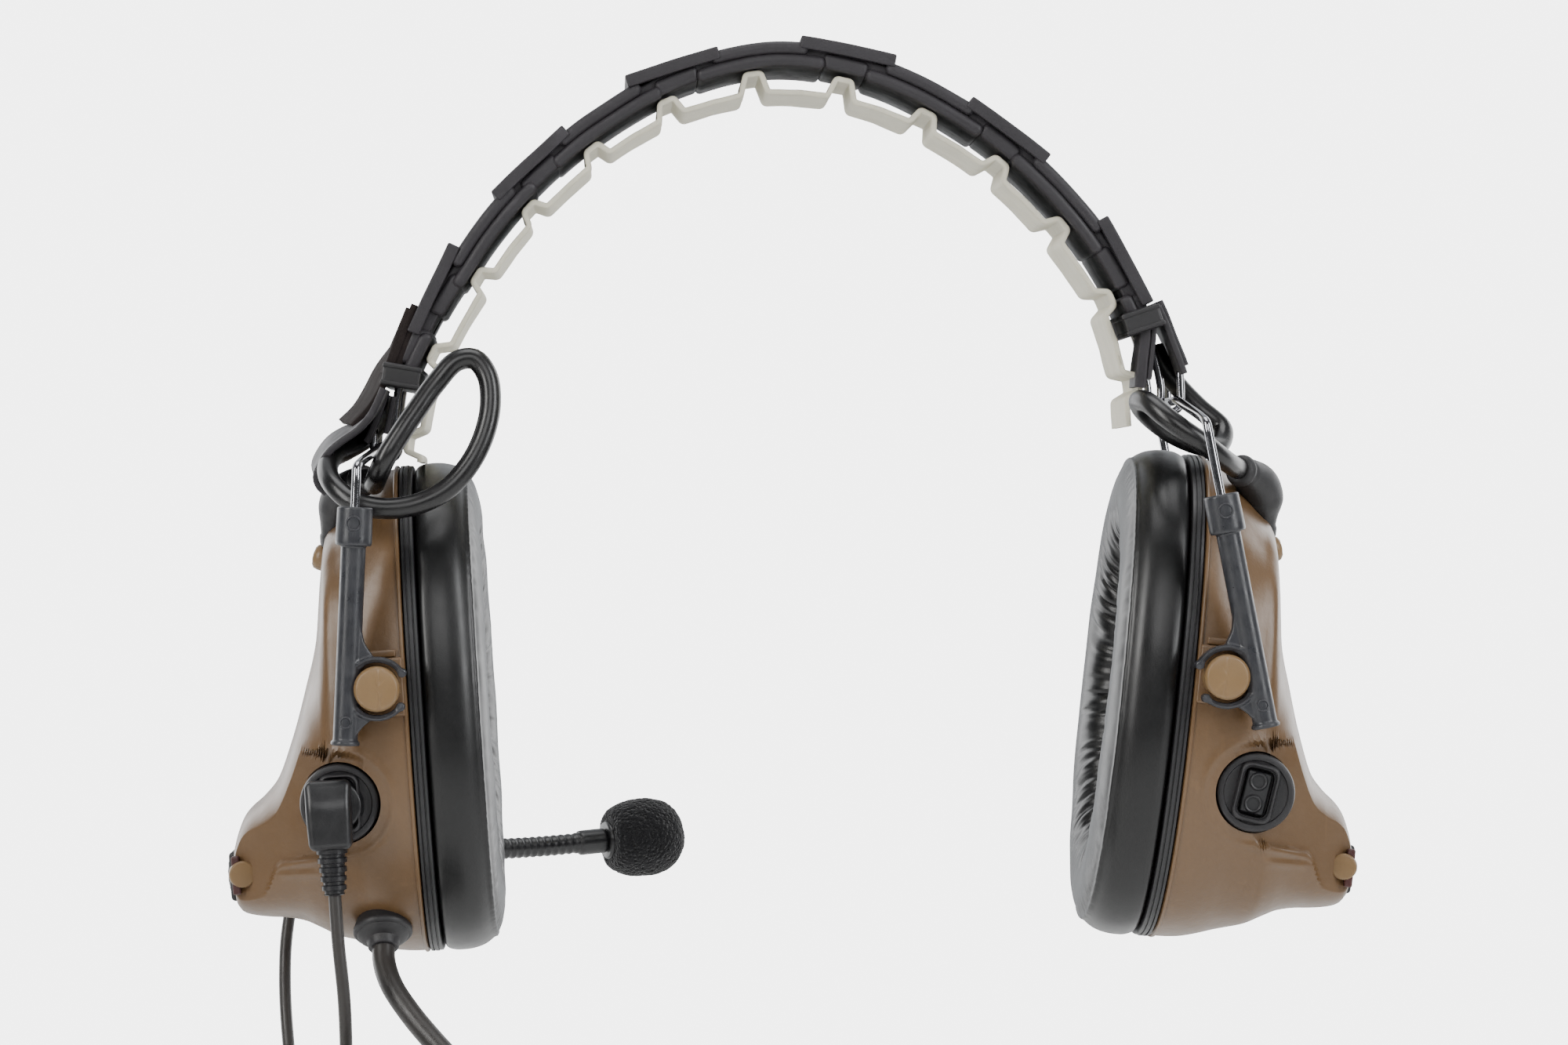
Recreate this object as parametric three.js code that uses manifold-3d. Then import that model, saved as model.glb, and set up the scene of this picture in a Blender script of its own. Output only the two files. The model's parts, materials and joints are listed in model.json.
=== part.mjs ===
// Over-the-head radio headset: two ear cups hung on wire stirrups from a
// spring-wire headband with a rubber cover, a boom microphone and a downlead.
// Millimetres. +Z up, +Y the way the wearer faces, +X the wearer's right.
// Origin: the middle of the comfort pad's underside, where it sits on the head.
import * as THREE from "three";
import { mergeVertices } from "three/addons/utils/BufferGeometryUtils.js";
import Module from "manifold-3d";

const wasm = await Module();
wasm.setup();

// ---------------------------------------------------------------- dimensions
const GAP = 0.3; // clearance left between pieces that touch
const BAND_CENTRE = [-2.7, -75.9]; // x, z of the point the band is drawn round
// outer surface of the band cover: degrees round the centre, radius
const BAND_OUTER = [
  [14, 87.4], [20, 86.0], [30, 85.2], [45, 84.5], [60, 84.9], [75, 86.5],
  [90, 87.8], [105, 86.2], [120, 83.9], [135, 82.8], [150, 83.2], [162, 85.4],
  [172, 88.4],
];
// underside of the comfort pad
const PAD_UNDER = [
  [2, 75.6], [12, 75.6], [24, 75.4], [30, 74.7], [45, 74.1], [60, 74.3],
  [75, 75.2], [90, 75.9], [105, 75.0], [120, 73.3], [135, 72.4], [150, 72.8],
  [162, 74.8], [172, 77.6], [184, 79.6],
];
const COVER_WIDTH = 40, COVER_THICK = 5.8, COVER_WALL = 0.7;
const COVER_FROM = 168.3, COVER_TO = 20.8; // degrees
const PAD_WIDTH = 34, PAD_SHEET = 1.3, HAT_PITCH = 14.3, HAT_FIRST = 9;
const KEEPERS = { left: 170.7, right: 18.4 }; // degrees
const BOW_WIRE_R = 0.9, BOW_WIRE_Y = 14;
const YOKE_R = 1.0, YOKE_Y = 47.3, CROSSBAR_HALF = 26, LEG = 49;
const CABLE_R = 2.3, CABLE_BAND_R = 2.0;

// per side: hinge of the stirrup, top of its legs, lean of the legs, pivot pin
// and tilt of the cup, all in the row frame (x, z)
const SIDE = {
  left: { s: -1, hinge: [-90.7, -77.7], top: [-95.1, -82.0], lean: 2.4, pin: [-90.8, -129.8], tilt: -3.7, reach: 0 },
  right: { s: 1, hinge: [83.0, -67.5], top: [87.2, -72.4], lean: 11.0, pin: [91.5, -127.4], tilt: 6.1, reach: 0 },
};
const PIN_U = 6.2, PIN_W = 5.9; // pivot pin in the cup's own frame
const PIN_R = 4.9, CLIP_IN = 5.3, CLIP_OUT = 6.85, TUBE_R = 2.65, TUBE_OFF = 6.3;
const SOCKET = [16.2, -18.5], SOCKET_R = 8.6;
const BATTERY = [28.5, -31.0];
const BOOM = [13, -30];

// outer form of the shell: distance out from its rim, half width (y), lowest
// and highest point
const SHELL = [
  [0, 43.0, -54.0, 53.5], [3, 42.9, -53.9, 52.6], [6, 42.6, -53.6, 50.8],
  [10, 42.0, -52.6, 47.4], [14, 41.0, -51.2, 43.2], [17, 40.0, -50.2, 39.6],
  [18.2, 39.3, -49.8, 33.0], [20, 38.2, -49.0, 18.5], [23, 35.8, -47.2, 7.5],
  [27, 32.4, -45.2, -4.5], [31, 29.4, -44.3, -13.5], [34, 27.6, -44.0, -16.8],
  [38.5, 25.0, -43.2, -20.8], [40.2, 23.4, -42.4, -24.4], [41, 22.0, -41.2, -27.0],
];

// ------------------------------------------------------------------- helpers
const rad = THREE.MathUtils.degToRad;
const lerpTable = (table, v, col = 1) => {
  if (v <= table[0][0]) return table[0][col];
  for (let i = 1; i < table.length; i++)
    if (v <= table[i][0]) {
      const a = table[i - 1], b = table[i];
      return a[col] + ((b[col] - a[col]) * (v - a[0])) / (b[0] - a[0]);
    }
  return table[table.length - 1][col];
};
const smoothTable = (table) => {
  const curve = new THREE.SplineCurve(table.map((p) => new THREE.Vector2(p[0], p[1])));
  const pts = curve.getPoints(table.length * 8).map((p) => [p.x, p.y]);
  return (v) => lerpTable(pts, v);
};
const bandOuter = smoothTable(BAND_OUTER);
const padUnder = smoothTable(PAD_UNDER);
const polar = (deg, r) => [
  BAND_CENTRE[0] + r * Math.cos(rad(deg)),
  BAND_CENTRE[1] + r * Math.sin(rad(deg)),
];

// a route through given points, one section at each
class Route extends THREE.Curve {
  constructor(points) {
    super();
    this.points = points;
  }
  getUtoTmapping(u) {
    return u;
  }
  getPoint(t, target = new THREE.Vector3()) {
    const n = this.points.length - 1, k = Math.min(Math.floor(t * n + 1e-9), n - 1);
    return target.copy(this.points[k]).lerp(this.points[k + 1], t * n - k);
  }
  getTangent(t, target = new THREE.Vector3()) {
    const n = this.points.length - 1, k = Math.round(t * n), p = this.points;
    const a = p[Math.max(k - 1, 0)], b = p[Math.min(k + 1, n)], c = p[k];
    if (k > 0) target.copy(c).sub(a).normalize();
    else target.set(0, 0, 0);
    if (k < n) target.add(b.clone().sub(c).normalize());
    return target.normalize();
  }
}
const vec = (p) => new THREE.Vector3(p[0], p[1], p[2]);
const spaced = (points, step) => {
  const curve = new THREE.CatmullRomCurve3(points.map(vec), false, "centripetal");
  return curve.getSpacedPoints(Math.max(2, Math.round(curve.getLength() / step)));
};
const polygon = (r, sides) => {
  const s = new THREE.Shape();
  for (let i = 0; i < sides; i++) {
    const a = (2 * Math.PI * (i + 0.5)) / sides;
    i ? s.lineTo(r * Math.cos(a), r * Math.sin(a)) : s.moveTo(r * Math.cos(a), r * Math.sin(a));
  }
  s.closePath();
  return s;
};
const along = (shape, points) =>
  new THREE.ExtrudeGeometry(shape, {
    steps: points.length - 1,
    curveSegments: 6,
    bevelEnabled: false,
    extrudePath: new Route(points),
  });
const tube = (points, r, sides = 8) => along(polygon(r, sides), points);

// closed geometry with shared vertices and faces out
const closed = (geometry) => {
  let g = geometry.clone();
  for (const name of Object.keys(g.attributes)) if (name !== "position") g.deleteAttribute(name);
  g = mergeVertices(g, 1e-4);
  const p = g.attributes.position, idx = Array.from(g.index.array), keep = [];
  let vol = 0;
  const a = new THREE.Vector3(), b = new THREE.Vector3(), c = new THREE.Vector3();
  for (let i = 0; i < idx.length; i += 3) {
    if (idx[i] === idx[i + 1] || idx[i] === idx[i + 2] || idx[i + 1] === idx[i + 2]) continue;
    a.fromBufferAttribute(p, idx[i]);
    b.fromBufferAttribute(p, idx[i + 1]);
    c.fromBufferAttribute(p, idx[i + 2]);
    vol += a.dot(b.clone().cross(c));
    keep.push(idx[i], idx[i + 1], idx[i + 2]);
  }
  if (vol < 0) for (let i = 0; i < keep.length; i += 3) [keep[i], keep[i + 1]] = [keep[i + 1], keep[i]];
  g.setIndex(keep);
  return g;
};
const solid = (geometry) => {
  const g = closed(geometry);
  return new wasm.Manifold(
    new wasm.Mesh({
      numProp: 3,
      vertProperties: new Float32Array(g.attributes.position.array),
      triVerts: new Uint32Array(g.index.array),
    }),
  );
};
const shape3 = (manifold) => {
  const m = manifold.getMesh(), g = new THREE.BufferGeometry();
  const n = m.vertProperties.length / m.numProp, pos = new Float32Array(n * 3);
  for (let i = 0; i < n; i++)
    for (let k = 0; k < 3; k++) pos[3 * i + k] = m.vertProperties[i * m.numProp + k];
  g.setAttribute("position", new THREE.BufferAttribute(pos, 3));
  g.setIndex(new THREE.BufferAttribute(new Uint32Array(m.triVerts), 1));
  return g;
};
const box = (x0, x1, y0, y1, z0, z1) =>
  new THREE.BoxGeometry(Math.abs(x1 - x0), y1 - y0, z1 - z0).translate((x0 + x1) / 2, (y0 + y1) / 2, (z0 + z1) / 2);
// cylinder along Y between y0 and y1
const cylY = (x, z, r, y0, y1, n = 20) =>
  new THREE.CylinderGeometry(r, r, y1 - y0, n).translate(0, (y0 + y1) / 2, 0).translate(x, 0, z);
// solid of revolution about a given axis from a point; profile is [radius, along]
const turned = (profile, at, dir, n = 16) => {
  const g = new THREE.LatheGeometry(profile.map((p) => new THREE.Vector2(p[0], p[1])), n);
  const q = new THREE.Quaternion().setFromUnitVectors(new THREE.Vector3(0, 1, 0), vec(dir).normalize());
  return g.applyQuaternion(q).translate(at[0], at[1], at[2]);
};
// polygon in the x-z plane drawn out between y0 and y1
const slab = (points, y0, y1, holes = []) => {
  const s = new THREE.Shape(points.map((p) => new THREE.Vector2(p[0], p[1])));
  for (const h of holes) s.holes.push(new THREE.Path(h.map((p) => new THREE.Vector2(p[0], p[1]))));
  const g = new THREE.ExtrudeGeometry(s, { depth: y1 - y0, bevelEnabled: false, steps: 1 });
  return g.rotateX(Math.PI / 2).translate(0, y1, 0);
};
// closed skin through a row of rings of points
const loft = (rings) => {
  const n = rings[0].length, pos = [], idx = [];
  for (const ring of rings) for (const p of ring) pos.push(p[0], p[1], p[2]);
  for (let r = 0; r + 1 < rings.length; r++)
    for (let i = 0; i < n; i++) {
      const j = (i + 1) % n, a = r * n + i, b = r * n + j, c = (r + 1) * n + i, d = (r + 1) * n + j;
      idx.push(a, b, d, a, d, c);
    }
  for (const [r, flip] of [[0, true], [rings.length - 1, false]]) {
    const m = [0, 0, 0];
    for (const p of rings[r]) for (let k = 0; k < 3; k++) m[k] += p[k] / n;
    const at = pos.length / 3;
    pos.push(...m);
    for (let i = 0; i < n; i++) {
      const j = (i + 1) % n;
      flip ? idx.push(at, r * n + j, r * n + i) : idx.push(at, r * n + i, r * n + j);
    }
  }
  const g = new THREE.BufferGeometry();
  g.setAttribute("position", new THREE.Float32BufferAttribute(pos, 3));
  g.setIndex(idx);
  return g;
};

const material = (hex, roughness, metalness = 0) =>
  new THREE.MeshStandardMaterial({ color: hex, roughness, metalness });
const M = {
  shell: material(0x8a6e52, 0.62), pin: material(0x9c7f60, 0.55), steel: material(0xc8c8cc, 0.2, 1),
  slider: material(0x3a3b40, 0.5), rubber: material(0x2e2d30, 0.75), cover: material(0x353236, 0.7),
  vinyl: material(0x121212, 0.35), pad: material(0xbebcaf, 0.7), foam: material(0x3a3a3c, 0.95),
  circuit: material(0x1f5a34, 0.6), battery: material(0x9a9ca0, 0.35, 0.8), cable: material(0x39383b, 0.55),
  brass: material(0xb8a060, 0.3, 1), plastic: material(0x1c1c1e, 0.5),
};

const headset = new THREE.Group();
const add = (parent, name, geometry, mat) => {
  const g = geometry instanceof wasm.Manifold ? shape3(geometry) : closed(geometry);
  const mesh = new THREE.Mesh(g, mat);
  mesh.name = name;
  parent.add(mesh);
  return mesh;
};

// ------------------------------------------------------------------ headband
const bandPoints = (offset, from, to, step, y = 0) => {
  const pts = [], n = Math.max(2, Math.round(Math.abs(from - to) / step));
  for (let i = 0; i <= n; i++) {
    const a = from + ((to - from) * i) / n, p = polar(a, bandOuter(a) - offset);
    pts.push(new THREE.Vector3(p[0], y, p[1]));
  }
  return pts;
};
{
  // rubber cover: a flat sleeve round both wires and the crossover cable
  const hw = COVER_WIDTH / 2, ht = COVER_THICK / 2, s = new THREE.Shape();
  s.moveTo(-hw + 2, -ht); s.lineTo(hw - 2, -ht); s.lineTo(hw, -ht + 2); s.lineTo(hw, ht - 2);
  s.lineTo(hw - 2, ht); s.lineTo(-hw + 2, ht); s.lineTo(-hw, ht - 2); s.lineTo(-hw, -ht + 2);
  s.closePath();
  const iw = hw - 3.2, it = ht - COVER_WALL, h = new THREE.Path();
  h.moveTo(-iw, -it); h.lineTo(-iw, it); h.lineTo(iw, it); h.lineTo(iw, -it); h.closePath();
  s.holes.push(h);
  add(headset, "headband_cover", along(s, bandPoints(ht, COVER_FROM, COVER_TO, 4.2)), M.cover);
}
for (const [name, y] of [["bow_wire_rear", -BOW_WIRE_Y], ["bow_wire_front", BOW_WIRE_Y]]) {
  // spring wire over the head, each end turned round a stirrup's crossbar
  const pts = [];
  const hook = (side) => {
    const { s, hinge } = SIDE[side], out = [], r = 2.25;
    out.push([hinge[0] + s * (r - 0.2), y, hinge[1] + 6.0]);
    for (let a = 0; a <= 180; a += 30)
      out.push([hinge[0] + s * r * Math.cos(rad(a)), y, hinge[1] - r * Math.sin(rad(a))]);
    out.push([hinge[0] - s * r, y, hinge[1] + 3.5]);
    return out;
  };
  for (const p of hook("left")) pts.push(vec(p));
  const mid = bandPoints(COVER_THICK / 2, 171.5, 16.5, 5, y);
  pts.push(...mid);
  for (const p of hook("right").reverse()) pts.push(vec(p));
  add(headset, name, tube(pts, BOW_WIRE_R, 6), M.steel);
}
{
  const pts = bandPoints(COVER_THICK / 2, 171.5, 16.5, 6);
  add(headset, "crossover_cable_band", tube(pts, CABLE_BAND_R, 8), M.cable);
}
for (const side of ["left", "right"]) {
  // moulded ring that clamps the end of the cover
  const a = KEEPERS[side], r = bandOuter(a) - COVER_THICK / 2;
  // square to the band where it sits
  const q0 = polar(a - 1.5, bandOuter(a - 1.5)), q1 = polar(a + 1.5, bandOuter(a + 1.5));
  const turn = Math.atan2(q1[1] - q0[1], q1[0] - q0[0]) - Math.PI / 2;
  const ring = slab(
    [[-4.2, -2.8], [4.2, -2.8], [4.2, 2.8], [-4.2, 2.8]], -21, 21);
  const hole = box(-2.9, 2.9, -17.4, 17.4, -5, 5);
  const g = shape3(solid(ring).subtract(solid(hole)));
  const p = polar(a, r);
  g.rotateY(-turn).translate(p[0], 0, p[1]);
  add(headset, "keeper_" + side, g, M.rubber);
}
{
  // loose outer leaf of the cover at each end
  const left = [[-86.9, -48.4], [-90.3, -54.4], [-93.6, -60.8], [-97.0, -67.8], [-99.4, -72.4],
    [-98.1, -73.1], [-95.7, -68.4], [-92.3, -61.5], [-89.0, -55.1], [-85.8, -49.1]];
  add(headset, "cover_leaf_left", slab(left, -17, 17), M.cover);
  const right = [[80.0, -41.2], [83.6, -48.2], [86.9, -55.4], [88.3, -59.6], [86.9, -60.1],
    [85.5, -56.0], [82.3, -48.9], [78.9, -42.0]];
  add(headset, "cover_leaf_right", slab(right, -17, 17), M.cover);
}
{
  // comfort pad: thin sheet with hollow ridges across it
  const outer = [], inner = [];
  const push = (a, lift) => {
    outer.push(polar(a, padUnder(a) + PAD_SHEET + lift));
    inner.push(polar(a, padUnder(a) + lift));
  };
  const rise = (a) => {
    const room = bandOuter(a) - COVER_THICK - 0.35 - PAD_SHEET - padUnder(a);
    return a > 20 && a < 165 ? Math.max(1.4, Math.min(room, 4.4)) : 3.2;
  };
  let last = null;
  push(2.2, 0);
  for (let k = 0; k < 13; k++) {
    const a = HAT_FIRST + k * HAT_PITCH, h = rise(a);
    if (last !== null) push((last + a) / 2, 0);
    push(a - 2.15, 0); push(a - 1.15, h); push(a + 1.15, h);
    if (a + 2.15 < 184) push(a + 2.15, 0);
    last = a;
  }
  push(183.6, 0);
  add(headset, "comfort_pad", slab([...outer, ...inner.reverse()], -PAD_WIDTH / 2, PAD_WIDTH / 2), M.pad);
}

// ------------------------------------------------------- stirrups and sliders
for (const side of ["left", "right"]) {
  const { s, hinge, top, lean, pin } = SIDE[side];
  const down = [s * Math.sin(rad(lean)), -Math.cos(rad(lean))]; // x, z along the legs
  {
    const end = [top[0] + down[0] * LEG, top[1] + down[1] * LEG], half = [];
    half.push([end[0], -YOKE_Y, end[1]]);
    half.push([top[0] + down[0] * 2, -YOKE_Y, top[1] + down[1] * 2]);
    half.push([top[0] + down[0] * 0.3, -YOKE_Y + 0.5, top[1] + down[1] * 0.3]);
    const mix = (t, y) => [top[0] + (hinge[0] - top[0]) * t, y, top[1] + (hinge[1] - top[1]) * t];
    half.push(mix(0.16, -44.6), mix(0.72, -33.5), mix(0.95, -28.5), [hinge[0], -CROSSBAR_HALF, hinge[1]]);
    half.push([hinge[0], -10, hinge[1]]);
    const pts = half.map(vec);
    for (const p of [...half].reverse()) pts.push(new THREE.Vector3(p[0], -p[1], p[2]));
    add(headset, "stirrup_wire_" + side, tube(pts, YOKE_R, 8), M.steel);
  }
  // slider: tube on the leg, collar on top, open clip round the pivot pin
  const g = new THREE.Group();
  g.position.set(pin[0], 0, pin[1]);
  g.rotation.y = -s * rad(lean);
  headset.add(g);
  for (const [end, e] of [["rear", -1], ["front", 1]]) {
    const y0 = e * YOKE_Y, ax = s * TUBE_OFF;
    const up = (r, a, b, n) => new THREE.CylinderGeometry(r, r, b - a, n).rotateX(Math.PI / 2).translate(ax, y0, (a + b) / 2);
    const web = [[6.3, 12.6], [3.9, 12.3], [3.5, 10.2], [2.6, 8.2], [0.6, 6.7], [0.0, 0.0], [0.6, -6.7], [2.4, -8.0],
      [3.4, -9.6], [3.8, -11.0], [6.3, -11.0]].map((p) => [s * p[0], p[1]]);
    let m = solid(up(TUBE_R, -11.6, 30.8, 10)).add(solid(up(3.8, 30.5, 38.7, 12))).add(solid(up(3.05, -12.3, -11.2, 10)));
    m = m.add(solid(slab(web, y0 - 1.9, y0 + 1.9)));
    m = m.add(solid(cylY(0, 0, CLIP_OUT, y0 - 1.9, y0 + 1.9, 18)));
    m = m.subtract(solid(cylY(0, 0, CLIP_IN, y0 - 4, y0 + 4, 18)));
    const mouth = [[0, 0], [-9, 5.6], [-9, -5.6]].map((p) => [s * p[0], p[1]]);
    m = m.subtract(solid(slab(mouth, y0 - 4, y0 + 4)));
    m = m.subtract(solid(up(1.45, -8, 45, 6)));
    add(g, "slider_" + end + "_" + side, m, M.slider);
  }
}

// ------------------------------------------------------------------ ear cups
const ring = (u, half, low, high, s, n = 24, grow = 0) => {
  const out = [], p = 0.85;
  for (let i = 0; i < n; i++) {
    const a = (2 * Math.PI * i) / n, c = Math.cos(a), d = Math.sin(a), mid = (low + high) / 2;
    out.push([s * u, Math.sign(c) * Math.abs(c) ** p * (half + grow),
      mid + Math.sign(d) * Math.abs(d) ** p * ((high - low) / 2 + grow)]);
  }
  return out;
};
const shellAt = (u) => [1, 2, 3].map((k) => lerpTable(SHELL, u, k));
const outerForm = (s, grow = 0) => {
  const rings = SHELL.map(([u, h, l, t]) => ring(u + (u ? grow * 0.7 : 0), h, l, t, s, 24, grow));
  return solid(loft(rings));
};
// oval ring with a closed profile: [inward share 0..1, u]; share 0 is the rim
const ovalRing = (profile, s, outer, inner, n = 24) => {
  const rings = profile.map(([t, u]) => {
    const a = ring(u, ...outer, s, n), b = ring(u, ...inner, s, n);
    return a.map((p, i) => [p[0], p[1] + (b[i][1] - p[1]) * t, p[2] + (b[i][2] - p[2]) * t]);
  });
  const pos = [], idx = [], m = rings.length;
  for (const r of rings) for (const p of r) pos.push(...p);
  for (let r = 0; r < m; r++)
    for (let i = 0; i < n; i++) {
      const q = (r + 1) % m, j = (i + 1) % n;
      idx.push(r * n + i, r * n + j, q * n + j, r * n + i, q * n + j, q * n + i);
    }
  const g = new THREE.BufferGeometry();
  g.setAttribute("position", new THREE.Float32BufferAttribute(pos, 3));
  g.setIndex(idx);
  return g;
};
const cupGroup = (side) => {
  const { pin, tilt } = SIDE[side], g = new THREE.Group(), s = SIDE[side].s, t = rad(tilt);
  // the pin is at (PIN_U, PIN_W) in the cup's frame
  const lx = s * PIN_U, lz = PIN_W;
  g.rotation.y = t;
  g.position.set(pin[0] - (lx * Math.cos(t) + lz * Math.sin(t)), 0, pin[1] - (-lx * Math.sin(t) + lz * Math.cos(t)));
  headset.add(g);
  g.updateMatrixWorld(true);
  return g;
};
const cups = {};
for (const side of ["left", "right"]) {
  const s = SIDE[side].s, cup = cupGroup(side);
  cups[side] = cup;
  // shell: outer form less the hollow
  const hollow = [];
  for (const u of [-1, 3, 8, 12, 15.4, 16.6, 18.5, 21, 25, 29, 32.5, 35]) {
    const a = shellAt(Math.max(u, 0)), b = shellAt(Math.max(u, 0) + 2.2);
    hollow.push(ring(u, Math.min(a[0], b[0]) - 2.2, Math.max(a[1], b[1]) + 2.2, Math.min(a[2], b[2]) - 2.2, s));
  }
  let shell = outerForm(s).subtract(solid(loft(hollow)));
  // seats of the pivot pins
  for (const e of [-1, 1]) {
    const y0 = e < 0 ? -43.7 : 40.6, y1 = e < 0 ? -40.6 : 43.7;
    shell = shell.add(solid(box(s * 0.6, s * 12.4, y0, y1, -0.4, 12.3)));
  }
  // socket hole at the rear, battery mouth at the front, button pocket outside
  const [su, sw] = SOCKET, [bu, bw] = BATTERY;
  shell = shell.subtract(solid(cylY(s * su, sw, SOCKET_R + GAP, -60, -30, 24)));
  shell = shell.add(solid(cylY(s * bu, bw, 8.2, 24.4, 31.6, 20)));
  shell = shell.subtract(solid(cylY(s * bu, bw, 8.5, 31.7, 60, 20)));
  shell = shell.subtract(solid(cylY(s * bu, bw, 6.3, 20, 40, 16)));
  shell = shell.subtract(solid(box(s * 38.4, s * 50, -16.6, 16.6, -40.0, -28.2)));
  // cable way at the top and the bottom
  shell = shell.subtract(solid(turned([[0, -8], [1.9, -8], [1.9, 8], [0, 8]], [s * 12.5, -11, 41.5], [0.2 * s, -0.2, 1], 8)));
  if (side === "left")
    shell = shell.subtract(solid(turned([[0, -8], [2.6, -8], [2.6, 8], [0, 8]], [s * 9.3, -22.5, -43.5], [0, 0.55, 0.83], 8)));
  add(cup, "shell_" + side, shell, M.shell);

  const rim = [43.0, -54.0, 53.5];
  // baffle plate that closes the shell and carries the cushion and speaker
  add(cup, "baffle_plate_" + side, ovalRing([[0, -GAP], [0, -3.1], [1, -3.1], [1, -GAP]], s, rim, [15, -15, 15]), M.plastic);
  // ear cushion
  add(cup, "ear_cushion_" + side,
    ovalRing([[0.1, -3.4], [-0.01, -5.2], [0.0, -9.5], [0.12, -14.0], [0.38, -17.0], [0.72, -16.6], [1, -13.0], [1.02, -5.0], [0.94, -3.4]],
      s, rim, [21.5, -32.5, 32.5]), M.vinyl);
  // foam disc over the speaker
  add(cup, "speaker_foam_" + side,
    loft([ring(-3.4, 19.5, -29.5, 29.5, s, 20), ring(-6.4, 18.5, -28.5, 28.5, s, 20)]), M.foam);
  // speaker
  add(cup, "speaker_" + side,
    turned([[0, 0], [18.5, 0], [18.5, 3.2], [10, 6.4], [0, 6.4]], [s * 0.4, 0, 0], [s, 0, 0], 18), M.plastic);
  // circuit board
  add(cup, "circuit_board_" + side, box(s * 9.0, s * 10.6, -24, 24, -24, 26), M.circuit);
  // battery with its pip, and the cap that closes its tube
  add(cup, "battery_" + side,
    turned([[0, -22], [5.2, -22], [5.2, 21.2], [1.9, 21.2], [1.9, 22.2], [0, 22.2]], [s * bu, -0.4, bw], [0, 1, 0], 14), M.battery);
  let cap = solid(cylY(s * bu, bw, 5.9, 25.0, 33.0, 18)).add(solid(cylY(s * bu, bw, 8.0, 32.0, 34.4, 20)));
  cap = cap.subtract(solid(box(s * (bu - 5), s * (bu + 5), 33.4, 36, bw - 0.8, bw + 0.8)));
  add(cup, "battery_cap_" + side, cap, M.plastic);
  // pivot pins
  for (const [end, e] of [["rear", -1], ["front", 1]])
    add(cup, "pivot_pin_" + end + "_" + side,
      turned([[0, 44.0], [PIN_R, 44.0], [PIN_R, 50.2], [PIN_R - 0.5, 50.7], [0, 50.7]], [s * PIN_U, 0, PIN_W], [0, e, 0], 16), M.pin);
  // rubber socket seal and its contact block
  let seal = solid(cylY(s * su, sw, SOCKET_R, -39.8, -33.5, 22));
  seal = seal.subtract(solid(box(s * (su - 3.6), s * (su + 3.6), -45, -36.6, sw - 5.4, sw + 5.4)));
  add(cup, "socket_seal_" + side, seal, M.rubber);
  if (side === "right") {
    let block = solid(box(s * (su - 2.7), s * (su + 2.7), -39.2, -36.9, sw - 4.5, sw + 4.5));
    for (const d of [-2.5, 2.5]) block = block.subtract(solid(cylY(s * su, sw + d, 1.2, -45, -37.6, 10)));
    add(cup, "socket_block_right", block, M.plastic);
  }
  // rubber boot where the crossover cable enters
  const boot = spaced([[s * 7.6, -22.5, 50.9], [s * 10.2, -18.6, 49.9], [s * 13.0, -13.6, 47.2], [s * 14.2, -10.6, 42.0], [s * 14.4, -9.5, 38.5]], 4.0);
  add(cup, "cable_boot_" + side, solid(tube(boot, 4.1, 10)).subtract(outerForm(s, GAP)), M.rubber);
  // outside microphone
  add(cup, "outside_microphone_" + side,
    solid(turned([[0, -6], [2.9, -6], [2.9, 2.2], [2.1, 3.2], [0, 3.2]], [s * 17.6, -7.5, 34.4], [s * 0.95, 0, 0.3], 12)).subtract(outerForm(s, GAP)), M.shell);
  // push buttons on the outside
  for (const [name, y0, y1] of [["button_rear_", -15.9, -0.5], ["button_front_", 0.5, 15.9]])
    add(cup, name + side, box(s * 39.7, s * 42.4, y0, y1, -39.5, -28.7), M.rubber);
}

// -------------------------------------------------------- boom microphone
{
  const s = -1, cup = cups.left, [u, w] = BOOM;
  // clevis on the front of the left cup
  let clevis = solid(box(s * (u - 6.2), s * (u + 6.2), 37.5, 45.2, w - 6.5, w + 6.5));
  for (const d of [-1, 1])
    clevis = clevis.add(solid(box(s * (u + d * 3.2), s * (u + d * 6.0), 44.8, 53.2, w - 4.4, w + 4.4)));
  add(cup, "boom_clevis", clevis.subtract(outerForm(s, GAP)), M.plastic);
  // arm: eye between the ears, then a bent tube to the microphone
  const eye = turned([[0, -2.85], [4.2, -2.85], [4.2, 2.85], [0, 2.85]], [s * u, 49.9, w], [1, 0, 0], 16);
  const arm = [[s * u, 51.5, w], [s * u, 58, w - 0.8], [s * (u - 1.0), 66, w - 3], [s * (u - 7), 75, w - 5.5],
    [s * (u - 20), 85, w - 7.5], [s * (u - 36), 95, w - 8.5], [s * (u - 52), 102, w - 8.5]];
  add(cup, "boom_arm", solid(eye).add(solid(tube(spaced(arm, 7), 2.5, 8))), M.plastic);
  const tip = arm[arm.length - 1], dir = [16, 6.2, 0];
  const len = Math.hypot(...dir), d = dir.map((v) => v / len);
  const at = (k) => [tip[0] + d[0] * k, tip[1] + d[1] * k, tip[2] + d[2] * k];
  add(cup, "boom_microphone", turned([[0, 0], [3.2, 0], [4.6, 2], [4.6, 13], [0, 13]], at(0.8), d, 14), M.plastic);
  add(cup, "windscreen", turned([[0, 13.5], [5.0, 13.5], [5.0, 0], [7.2, 0.6], [9.2, 5], [9.4, 11], [7.2, 16], [3.5, 18.6], [0, 19]], at(1.6), d, 14), M.foam);
}

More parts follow.
